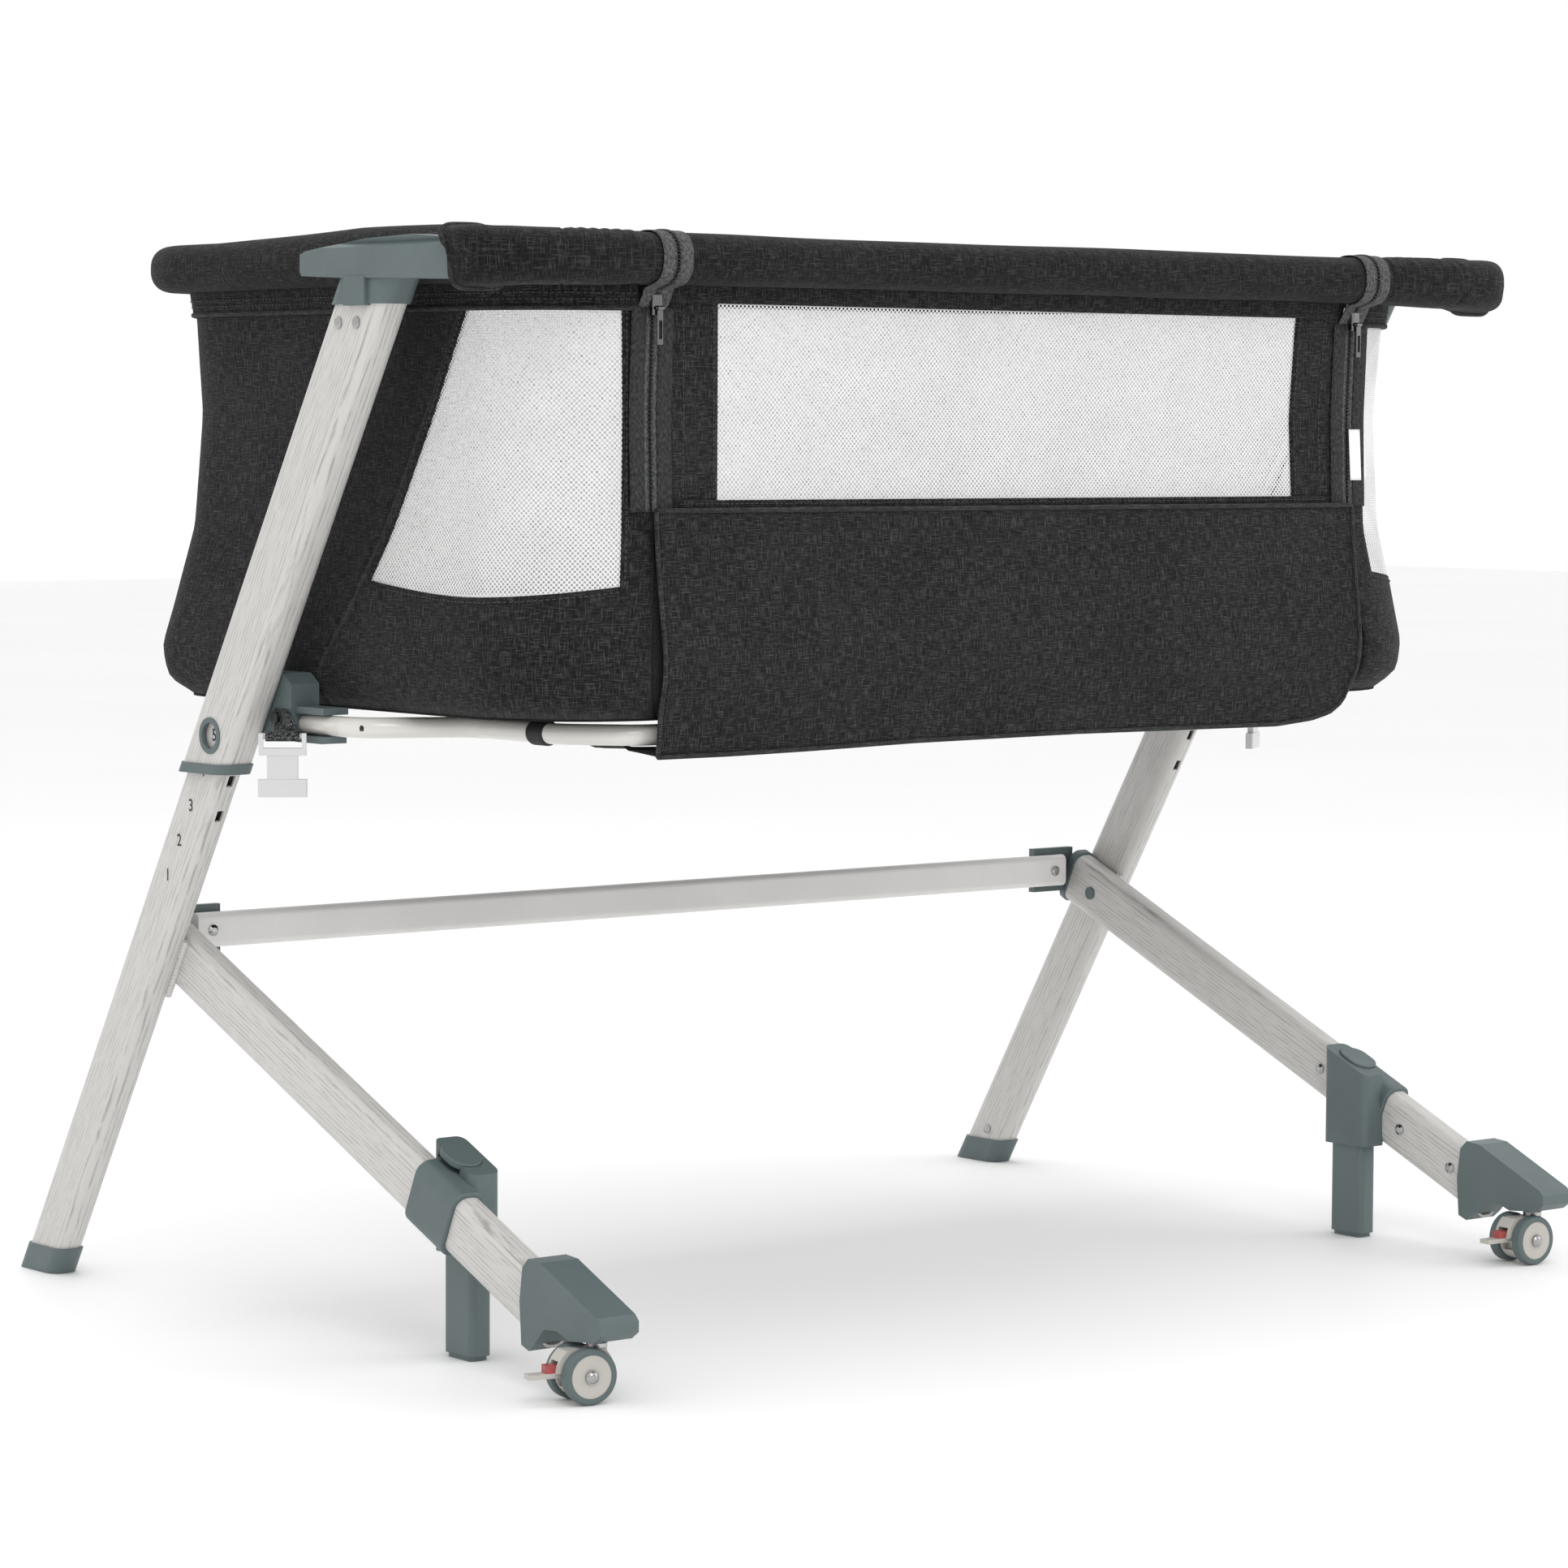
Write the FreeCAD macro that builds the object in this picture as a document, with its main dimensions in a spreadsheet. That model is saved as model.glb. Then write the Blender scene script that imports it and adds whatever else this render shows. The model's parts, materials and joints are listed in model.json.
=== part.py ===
import FreeCAD, Part
import Sketcher
import math
import os

# Bedside bassinet on a height-adjustable stand.
# +X runs along the length, -Y faces the bed (the drop side and the casters), +Z is up.
# The origin is on the floor in the middle of the stand.

os.makedirs("parts", exist_ok=True)
doc = FreeCAD.newDocument("bassinet")
sheet = doc.addObject("Spreadsheet::Sheet", "Sizes")

SIZES = [
    # stand: long legs
    ("leg_out", 462.0), ("leg_thick", 20.0), ("leg_deep", 41.0), ("leg_foot_y", 314.0),
    ("leg_lean", 31.0), ("leg_long", 640.0), ("leg_round", 8.0), ("tube_wall", 1.6),
    ("foot_cap_high", 19.0), ("foot_cap_wall", 1.8), ("foot_sole", 3.0),
    ("height_step", 25.0), ("slot_high", 9.0), ("slot_wide", 5.0), ("slot_top_z", 442.0),
    ("leg_gap", 0.3), ("rivet_head", 8.0), ("rivet_shank", 3.2),
    # stand: front legs and crossbar
    ("fleg_slope", 23.8), ("fleg_rise", 170.2), ("fleg_back_y", 176.0), ("fleg_front_y", -275.0),
    ("end_cap_long", 8.0), ("flange_in", 34.0), ("bar_high", 25.0), ("bar_thick", 11.0),
    ("bar_z", 255.0), ("bar_end_in", 9.0),
    # support posts
    ("post_y", -155.0), ("post_wide", 17.0), ("post_deep", 33.0), ("post_top", 100.0),
    ("post_travel", 15.0), ("post_round", 5.0), ("pad_high", 4.0),
    ("house_wide", 24.0), ("house_deep", 44.0), ("house_low", 70.0), ("house_rise", 134.0),
    ("button_x", 24.0), ("button_y", 30.0), ("button_high", 5.0), ("button_travel", 3.5),
    # casters
    ("stem_y", -321.0), ("stem_dia", 8.0), ("stem_top", 58.0), ("stem_fit", 0.05),
    ("wheel_dia", 36.0), ("tyre_wide", 8.5), ("hub_dia", 27.5), ("trail", 11.0),
    ("fork_wide", 14.0), ("axle_dia", 4.0), ("axle_fit", 0.05), ("house_x_wide", 30.0),
    ("swivel_left", -11.0), ("swivel_right", -3.0),
    # sleeves
    ("sleeve_thick", 27.0), ("sleeve_deep", 50.0), ("sleeve_wall", 1.5), ("sleeve_low", 380.5),
    ("sleeve_high", 690.0), ("sleeve_round", 10.0), ("rim_high", 7.0), ("rim_over", 1.5),
    ("bush_long", 26.0), ("window_z", 400.0), ("window_dia", 23.0), ("ring_wide", 2.6),
    # top brackets
    ("arm_over", 8.0), ("neck_over", 2.3), ("plug_long", 30.0),
    # lower brackets and bow tube
    ("bow_dia", 14.0), ("bow_z", 410.0), ("bow_front_y", -217.0), ("bow_in", 35.0),
    ("bow_jog", 71.0), ("bow_bend", 26.0), ("bow_wall", 1.2),
    # rail and basket
    ("rail_in", 28.0), ("rail_half_y", 258.0), ("rail_corner", 100.0), ("rail_wide", 36.0),
    ("rail_high", 34.0), ("rail_rise", 47.0), ("rail_tube", 16.0), ("zip_in", 119.0),
    ("zip_gap", 1.5), ("skin", 3.0), ("basket_over_bow", 17.0), ("floor_rise", 14.0),
    ("drop_z", 556.0), ("window_border", 49.0), ("window_foot", 8.0), ("window_head", 42.0),
    ("flap_drop", 31.0), ("flap_over", 5.0), ("flap_thick", 4.0), ("mesh_in", 30.0),
    ("board_thick", 6.0), ("mattress_thick", 40.0), ("mattress_gap", 8.0),
    # tether
    ("tether_turn", -36.0), ("tether_in", 7.5), ("buckle_wide", 32.0), ("buckle_thick", 6.0),
    ("strap_thick", 2.4), ("strap_wide", 25.0),
]
for row, (alias, value) in enumerate(SIZES, start=1):
    sheet.set("A%d" % row, alias)
    sheet.set("B%d" % row, repr(value))
    sheet.setAlias("B%d" % row, alias)
doc.recompute()

# Sizes that follow from the driving ones: what seats on, fits in or hangs from something else.
DERIVED = {
    "arm_out": "(@leg_out + @arm_over)",
    "bow_side_x": "(@leg_out - @bow_in)",
    "bow_mid_x": "(@leg_out - @bow_in - @bow_jog)",
    "rail_half_x": "(@leg_out - @rail_in)",
    "rail_top": "(@sleeve_high + @rail_rise)",
    "zip_x": "(@leg_out - @rail_in - @zip_in)",
    "window_half": "(@leg_out - @rail_in - @zip_in - @window_border)",
    "flap_half": "(@leg_out - @rail_in - @zip_in + @flap_over)",
    "basket_low": "(@bow_z + @basket_over_bow)",
    "floor_z": "(@bow_z + @basket_over_bow + @floor_rise)",
    "flap_low": "(@bow_z + @basket_over_bow - @flap_drop)",
    "window_low": "(@drop_z + @window_foot)",
    "window_top": "(@sleeve_high + @rail_rise - @window_head)",
}

V = FreeCAD.Vector
nodes = []


def ref(text):
    """Turn @name in a formula into a reference to that cell of the sheet."""
    out = text
    for name, formula in DERIVED.items():
        out = out.replace("@" + name, formula)
    for alias in sorted((a for a, _ in SIZES), key=len, reverse=True):
        out = out.replace("@" + alias, "Sizes." + alias)
    return out


def size(name):
    """Read one driving or derived dimension in millimetres."""
    return float(sheet.evalExpression(ref("@" + name)))


def bind(obj, **formulas):
    """Bind properties of an object to formulas over the sheet."""
    for name, formula in formulas.items():
        obj.setExpression(name.replace("__", "."), ref(str(formula)))
    return obj


def place(obj, x=0, y=0, z=0, axis=None, angle=0):
    """Bind an object's Placement: a position and one turn about an axis."""
    for key, formula in (("x", x), ("y", y), ("z", z)):
        obj.setExpression("Placement.Base." + key, ref(str(formula)))
    if axis is not None:
        obj.Placement = FreeCAD.Placement(V(0, 0, 0), FreeCAD.Rotation(V(*axis), 10))
        obj.setExpression("Placement.Rotation.Angle", ref(str(angle)))
    return obj


def keep(obj, label):
    """Mark an object as a finished sub-part and give it the name of its file."""
    obj.Label = label
    nodes.append(obj)
    return obj


def block(name, wide, deep, high, x="0", y="0", z="0"):
    """A box whose middle in x and y is at the given point and whose foot is at z."""
    obj = doc.addObject("Part::Box", name)
    bind(obj, Length=wide, Width=deep, Height=high)
    place(obj, "%s - (%s) / 2" % (x, wide), "%s - (%s) / 2" % (y, deep), z)
    return obj


def rod(name, dia, high, x="0", y="0", z="0", axis=None, angle=0):
    """A cylinder from the given point along z, or turned about an axis."""
    obj = doc.addObject("Part::Cylinder", name)
    bind(obj, Radius="(%s) / 2" % dia, Height=high)
    return place(obj, x, y, z, axis, angle)


def bar(name, wide, deep, high, corner, z="0", soft_ends=None):
    """A body: a box along local z with rounded long edges, centred on its own axis."""
    body = doc.addObject("PartDesign::Body", name)
    core = body.newObject("PartDesign::AdditiveBox", name + "_box")
    bind(core, Length=wide, Width=deep, Height=high)
    for key, formula in (("x", "-(%s) / 2" % wide), ("y", "-(%s) / 2" % deep), ("z", z)):
        core.setExpression("Placement.Base." + key, ref(formula))
    doc.recompute()
    along = []
    for number, edge in enumerate(core.Shape.Edges, start=1):
        ends = edge.Vertexes
        if abs(ends[0].Z - ends[1].Z) > 1e-6:
            along.append("Edge%d" % number)
    rounding = body.newObject("PartDesign::Fillet", name + "_round")
    rounding.Base = (core, along)
    bind(rounding, Radius=corner)
    doc.recompute()
    if soft_ends:
        ends = [
            "Edge%d" % number
            for number, edge in enumerate(rounding.Shape.Edges, start=1)
            if abs(edge.BoundBox.ZLength) < 1e-6
        ]
        soft = body.newObject("PartDesign::Fillet", name + "_soft")
        soft.Base = (rounding, ends)
        bind(soft, Radius=soft_ends)
        doc.recompute()
    return body


def join(name, *parts):
    """Fuse several objects into one."""
    obj = doc.addObject("Part::MultiFuse", name)
    obj.Shapes = list(parts)
    return obj


def group(name, *parts):
    """Hold several separate solids in one sub-part."""
    obj = doc.addObject("Part::Compound", name)
    obj.Links = list(parts)
    return obj


def cut(name, base, *tools):
    """Take one or more tools away from a base."""
    obj = doc.addObject("Part::Cut", name)
    obj.Base = base
    obj.Tool = tools[0] if len(tools) == 1 else join(name + "_tools", *tools)
    return obj


def shared(name, one, two):
    """Keep only what two objects share."""
    obj = doc.addObject("Part::Common", name)
    obj.Base = one
    obj.Tool = two
    return obj


def mirror(name, source):
    """The same piece on the other side of the middle plane x = 0."""
    obj = doc.addObject("Part::Mirroring", name)
    obj.Source = source
    obj.Normal = V(1, 0, 0)
    obj.Base = V(0, 0, 0)
    return obj


def pair(left, label):
    """Keep a left piece and its mirror image together as one sub-part of two solids."""
    keep(group(label + "_pair", left, mirror(label + "_mirror", left)), label)


def both(left, label):
    """Keep a left piece and its mirror image as two sub-parts."""
    keep(left, label + "_left")
    keep(mirror(label + "_mirror", left), label + "_right")


def again(name, source, **where):
    """A second copy of an object at another place."""
    obj = doc.addObject("Part::Compound", name)
    obj.Links = [source]
    return place(obj, **where)


def sketch_prism(name, points, wide, start):
    """A body: a closed outline in the Y-Z plane padded along +X from a given x.

    Each point is a pair of formulas; every corner of the sketch is tied to the sheet."""
    body = doc.addObject("PartDesign::Body", name)
    plane = [f for f in body.Origin.OriginFeatures if f.Role == "YZ_Plane"][0]
    sk = body.newObject("Sketcher::SketchObject", name + "_outline")
    sk.AttachmentSupport = [(plane, "")]
    sk.MapMode = "FlatFace"
    spots = [(evaluate(a), evaluate(b)) for a, b in points]
    count = len(spots)
    for index in range(count):
        one = spots[index]
        two = spots[(index + 1) % count]
        sk.addGeometry(Part.LineSegment(V(one[0], one[1], 0), V(two[0], two[1], 0)), False)
    for index in range(count):
        sk.addConstraint(Sketcher.Constraint("Coincident", index, 2, (index + 1) % count, 1))
    for index, (across, up) in enumerate(points):
        cx = sk.addConstraint(Sketcher.Constraint("DistanceX", -1, 1, index, 1, spots[index][0]))
        sk.setExpression("Constraints[%d]" % cx, ref(across))
        cy = sk.addConstraint(Sketcher.Constraint("DistanceY", -1, 1, index, 1, spots[index][1]))
        sk.setExpression("Constraints[%d]" % cy, ref(up))
    pad = body.newObject("PartDesign::Pad", name + "_pad")
    pad.Profile = sk
    bind(pad, Length=wide)
    place(body, x=start)
    return body


def evaluate(formula):
    """The present value of a formula over the sheet, for placing sketch points."""
    return float(sheet.evalExpression(ref(formula)))


# Frames of reference that many pieces share: the long leg and the front leg.
LEG_X = "(@leg_out - @leg_thick / 2)"
LEG_COS = "cos(@leg_lean * 1deg)"
LEG_TAN = "tan(@leg_lean * 1deg)"
FLEG_X = "(@leg_out - @leg_thick * 3 / 2)"
FLEG_COS = "cos(@fleg_slope * 1deg)"
FLEG_TAN = "tan(@fleg_slope * 1deg)"
FLEG_IN = "(%s - @leg_thick / 2)" % FLEG_X


def on_long_leg(obj, slide="0"):
    """Stand an object built along z on the left long leg's axis."""
    return place(
        obj,
        x="-" + LEG_X,
        y="@leg_foot_y - (%s) * sin(@leg_lean * 1deg)" % slide,
        z="(%s) * cos(@leg_lean * 1deg)" % slide,
        axis=(1, 0, 0),
        angle="@leg_lean",
    )


def leg_y(height):
    """The y of the long leg's axis at a height."""
    return "(@leg_foot_y - (%s) * %s)" % (height, LEG_TAN)


def on_front_leg(obj):
    """Lay an object built along z on the left front leg's axis, from its front end."""
    return place(
        obj,
        x="-" + FLEG_X,
        y="@fleg_front_y - 30",
        z="@fleg_rise + (@fleg_front_y - 30) * %s" % FLEG_TAN,
        axis=(1, 0, 0),
        angle="@fleg_slope - 90",
    )


def slab(name, low, high):
    """A wide level slab between two heights, used to make level cuts."""
    return block(name, "1400", "1400", "(%s) - (%s)" % (high, low), z=low)


def rivet_parts(name, x, y, z, axis, angle):
    """A blind rivet and the hole it needs: a domed head on a face, a shank behind it."""
    disc_part = doc.addObject("Part::Cylinder", name + "_disc")
    bind(disc_part, Radius="@rivet_head / 2", Height="0.9")
    crown = doc.addObject("Part::Cone", name + "_crown")
    bind(crown, Radius1="@rivet_head / 2", Radius2="@rivet_head / 4", Height="1.1")
    place(crown, z="0.9")
    shank = doc.addObject("Part::Cylinder", name + "_shank")
    bind(shank, Radius="@rivet_shank / 2", Height="3.4")
    place(shank, z="-3.4")
    rivet = place(join(name, disc_part, crown, shank), x, y, z, axis, angle)
    hole = doc.addObject("Part::Cylinder", name + "_hole")
    bind(hole, Radius="@rivet_shank / 2 + 0.1", Height="8")
    holder = group(name + "_hole_set", hole)
    place(hole, z="-3.6")
    place(holder, x, y, z, axis, angle)
    return rivet, holder


def rivet_row(name, spots, axis, angle):
    """Rivets and holes at several spots on one face."""
    made = [rivet_parts("%s%d" % (name, n), x, y, z, axis, angle)
            for n, (x, y, z) in enumerate(spots)]
    return [m[0] for m in made], [m[1] for m in made]


# ---------------------------------------------------------------- long legs and foot caps
def leg_bar(name, grow, length, corner_change="0"):
    return bar(
        name,
        "@leg_thick + (%s)" % grow,
        "@leg_deep + (%s)" % grow,
        length,
        "@leg_round + (%s)" % corner_change,
        z="-40",
    )


outer = on_long_leg(leg_bar("leg_outer", "0", "@leg_long + 40"))
inner = on_long_leg(leg_bar("leg_inner", "-2 * @tube_wall", "@leg_long + 60", "-@tube_wall"))
slots = []
for number in range(5):
    slot = block(
        "slot%d" % number,
        "@slot_wide",
        "12",
        "@slot_high",
        y="-@leg_deep / 2",
        z="(@slot_top_z - %d * @height_step) / %s - @slot_high / 2 + 14" % (number, LEG_COS),
    )
    slots.append(slot)
slot_set = on_long_leg(group("slot_set", *slots))
floor_cut = slab("leg_floor_cut", "-80", "@foot_sole")
foot_rivets, foot_holes = rivet_row(
    "foot_rivet", [("-(@leg_out - @leg_thick)", leg_y("27.5"), "27.5")], (0, 1, 0), 90)
both(cut("leg_tube", outer, inner, slot_set, floor_cut, *foot_holes), "leg_long_tube")

cap_outer = on_long_leg(leg_bar("cap_outer", "2 * @foot_cap_wall", "80", "@foot_cap_wall"))
cap_hole = on_long_leg(leg_bar("cap_hole", "0", "90"))
cap_core = on_long_leg(
    bar("cap_core", "@leg_thick - 2 * @tube_wall - 0.4", "@leg_deep - 2 * @tube_wall - 0.4",
        "90", "@leg_round - @tube_wall - 0.2", z="-40")
)
cap_shell = shared("cap_shell", cap_outer, slab("cap_slab", "0", "@foot_cap_high"))
cap_wall = cut("cap_wall", cap_shell, cap_hole)
cap_sole = shared("cap_sole", on_long_leg(leg_bar("cap_sole_bar", "1", "80", "0.5")),
                  slab("sole_slab", "0", "@foot_sole"))
cap_fill = shared("cap_fill", cap_core, slab("fill_slab", "@foot_sole", "@foot_cap_high - 4"))
pair(join("foot_cap", cap_wall, cap_sole, cap_fill), "foot_caps")

# ---------------------------------------------------------------- front legs
fleg_length = "(@fleg_back_y - @fleg_front_y + 30) / %s" % FLEG_COS
f_outer = on_front_leg(
    bar("fleg_outer", "@leg_thick", "@leg_deep", fleg_length, "@leg_round"))
f_inner = on_front_leg(
    bar("fleg_inner", "@leg_thick - 2 * @tube_wall", "@leg_deep - 2 * @tube_wall",
        fleg_length + " + 60", "@leg_round - @tube_wall", z="-30"))
front_cut = block("fleg_front_cut", "1400", "200", "300", y="@fleg_front_y - 100", z="-60")
PLUG_SPOT = ("@fleg_back_y - 24", "@fleg_rise + (@fleg_back_y - 24) * %s" % FLEG_TAN)
plug_hole = rod("plug_hole", "8", "12", "-%s - 6" % FLEG_IN, *PLUG_SPOT, (0, 1, 0), 90)
plug_head = rod("plug_head", "10", "1.2", "-%s" % FLEG_IN, *PLUG_SPOT, (0, 1, 0), 90)
plug_body = rod("plug_body", "7.8", "4.4", "-%s - 4.3" % FLEG_IN, *PLUG_SPOT, (0, 1, 0), 90)
plug_peg = join("plug_peg", plug_head, plug_body)


def weld(name, side_y, low, high):
    """A weld bead along the long leg's edge where the front leg meets it."""
    bead = rod(name, "5.2", "(%s - (%s)) / %s" % (high, low, LEG_COS))
    start = "(%s) / %s" % (low, LEG_COS)
    return place(
        bead,
        x="-(@leg_out - @leg_thick) - 1.2",
        y="@leg_foot_y - %s * sin(@leg_lean * 1deg) + (%s) * %s" % (start, side_y, LEG_COS),
        z="%s * %s + (%s) * sin(@leg_lean * 1deg)" % (start, LEG_COS, side_y),
        axis=(1, 0, 0),
        angle="@leg_lean",
    )


fleg_rivets, fleg_holes = rivet_row(
    "fleg_rivet",
    [("-" + FLEG_IN, "@post_y + (%d)" % dy, "@fleg_rise + (@post_y + (%d)) * %s" % (dy, FLEG_TAN))
     for dy in (45, -40, -92)],
    (0, 1, 0), 90)
bead = cut("weld_bead_clean", weld("weld_bead", "-@leg_deep / 2 + 1.5", "222", "262"), outer)
fleg_tube = cut("fleg_tube", join("fleg_welded", f_outer, bead), f_inner, front_cut, plug_hole,
                *fleg_holes)
both(fleg_tube, "leg_front_tube")

# end cap on the rear end of each front leg, with the flange that carries the crossbar
end_outer = on_front_leg(
    bar("end_outer", "@leg_thick + 1", "@leg_deep + 3", "@end_cap_long", "@leg_round",
        z=fleg_length, soft_ends="2"))
end_stub = on_front_leg(
    bar("end_stub", "@leg_thick - 2 * @tube_wall - 0.2", "@leg_deep - 2 * @tube_wall - 0.2",
        "34", "@leg_round - @tube_wall - 0.1", z=fleg_length + " - 34"))
bar_y = "(@fleg_back_y + 1)"
flange = block("end_flange", "@flange_in + 8", "6", "@bar_high + 10",
               "-%s + @flange_in / 2 - 4" % FLEG_IN, bar_y + " + @bar_thick / 2 + 3",
               "@bar_z - @bar_high / 2 - 5")
end_cap_raw = join("end_cap_raw", end_outer, end_stub, flange)
fleg_wall = cut("fleg_wall", f_outer, f_inner)
end_cap = cut("end_cap", end_cap_raw, outer, fleg_wall)
pair(join("end_cap_set", end_cap, plug_peg), "leg_end_caps")

crossbar = bar("crossbar_bar", "@bar_high", "@bar_thick", "2 * (%s - @bar_end_in)" % FLEG_IN,
               "@bar_thick / 2 - 0.6")
place(crossbar, x="-(%s - @bar_end_in)" % FLEG_IN, y=bar_y, z="@bar_z", axis=(0, 1, 0), angle=90)
bar_rivets, bar_holes = rivet_row(
    "bar_rivet", [("-(%s - @bar_end_in - 12)" % FLEG_IN, bar_y + " - @bar_thick / 2", "@bar_z")],
    (1, 0, 0), 90)
bar_drill = [bar_holes[0], mirror("bar_hole_mirror", bar_holes[0])]
keep(cut("crossbar_drilled", crossbar, *bar_drill), "crossbar")
stand_side = group("stand_rivets_side", *(foot_rivets + fleg_rivets + bar_rivets))
pair(stand_side, "stand_rivets")

# ---------------------------------------------------------------- support posts
P_X = "(%s - @post_wide / 2 - 0.3)" % FLEG_IN
H_X = "(%s - @house_wide / 2 + 4)" % FLEG_IN
B_X = "(%s - @button_x / 2 + 8)" % FLEG_IN
on_leg_z = "(@fleg_rise + @post_y * %s)" % FLEG_TAN
band = bar("band", "@leg_thick + 6", "@leg_deep + 6", "46", "@leg_round + 2", soft_ends="1.5")
place(band, x="-%s" % FLEG_X, y="@post_y - 23 * %s" % FLEG_COS,
      z="%s - 23 * sin(@fleg_slope * 1deg)" % on_leg_z, axis=(1, 0, 0), angle="@fleg_slope - 90")
house_body = bar("house_body", "@house_wide", "@house_deep", "110", "6")
place(house_body, x="-%s" % H_X, y="@post_y", z="@house_low")
roof = block("roof_cut", "200", "200", "100")
place(roof, x="-600", y="@post_y - 100 * %s" % FLEG_COS,
      z="@house_rise - 100 * sin(@fleg_slope * 1deg)", axis=(1, 0, 0), angle="@fleg_slope")
leg_space = on_front_leg(bar("leg_space", "@leg_thick", "@leg_deep", fleg_length, "@leg_round"))
post_hole = bar("post_hole", "@post_wide + 0.6", "@post_deep + 0.6",
                "@post_top + @post_travel + 2 - @house_low + 20", "@post_round + 0.3")
place(post_hole, x="-%s" % P_X, y="@post_y", z="@house_low - 20")


def on_roof(obj, lift):
    """Stand an object built along z on the slanted top of the left post housing."""
    return place(obj, x="-%s" % B_X,
                 y="@post_y + 1 - (%s) * sin(@fleg_slope * 1deg)" % lift,
                 z="@house_rise + %s + (%s) * %s" % (FLEG_TAN, lift, FLEG_COS),
                 axis=(1, 0, 0), angle="@fleg_slope")


recess = on_roof(bar("button_recess", "@button_x + 0.8", "@button_y + 0.8", "20",
                     "@button_x / 2 - 0.2"), "-@button_high - @button_travel + 1")
collar_raw = join("collar_raw", band, house_body)
both(cut("collar", collar_raw, leg_space, roof, post_hole, recess), "post_collar")

button = on_roof(bar("button_bar", "@button_x", "@button_y", "@button_high",
                     "@button_x / 2 - 0.6", soft_ends="1"), "1.6 - @button_high")
both(button, "post_button")

post = bar("post_bar", "@post_wide", "@post_deep", "@post_top - @pad_high + 1", "@post_round")
place(post, x="-%s" % P_X, y="@post_y", z="@pad_high - 1")
pad_outer = bar("pad_bar", "@post_wide - 3", "@post_deep - 5", "@pad_high", "@post_round - 1.5")
place(pad_outer, x="-%s" % P_X, y="@post_y")
post_bore = bar("post_bore", "@post_wide - 5", "@post_deep - 5", "@post_top", "@post_round - 2.5")
place(post_bore, x="-%s" % P_X, y="@post_y", z="@pad_high + 6")
post_body = cut("post_body", post, pad_outer, post_bore)
both(group("post_and_pad", post_body, pad_outer), "support_post")

# ---------------------------------------------------------------- caster housings
housing_outline = [
    ("@stem_y + 53", "84"), ("@stem_y + 40", "83"), ("@stem_y - 20", "56"),
    ("@stem_y - 24", "52"), ("@stem_y - 24", "45"), ("@stem_y - 17", "40"),
    ("@stem_y + 9", "37.5"), ("@stem_y + 22", "42"), ("@stem_y + 36", "41"),
    ("@stem_y + 46", "30"), ("@stem_y + 52", "25"), ("@stem_y + 60", "28"),
    ("@stem_y + 62", "56"), ("@stem_y + 59", "78"),
]
wedge = sketch_prism("caster_wedge", housing_outline, "@house_x_wide",
                     "-%s - @house_x_wide / 2" % FLEG_X)
doc.recompute()
stem_bore = rod("stem_bore", "@stem_dia + 2 * @stem_fit", "@stem_top - 30", "-" + FLEG_X,
                "@stem_y", "30.5")
leg_fill = cut("leg_fill", leg_space, again("front_cut_copy", front_cut))
both(cut("caster_housing", wedge, leg_fill, stem_bore), "caster_housing")

# ---------------------------------------------------------------- casters, built at their pivot
AXLE_Z = "@wheel_dia / 2"


def across(obj, middle_y, length, x="-@trail", z=AXLE_Z):
    """Turn an object built along z so it lies along y, centred on a y."""
    return place(obj, x=x, y="(%s) + (%s) / 2" % (middle_y, length), z=z,
                 axis=(1, 0, 0), angle=90)


def disc(name, dia, wide, middle_y="0", x="-@trail", z=AXLE_Z):
    """A disc whose axis lies along y."""
    obj = doc.addObject("Part::Cylinder", name)
    bind(obj, Radius="(%s) / 2" % dia, Height=wide)
    return across(obj, middle_y, wide, x, z)


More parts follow.
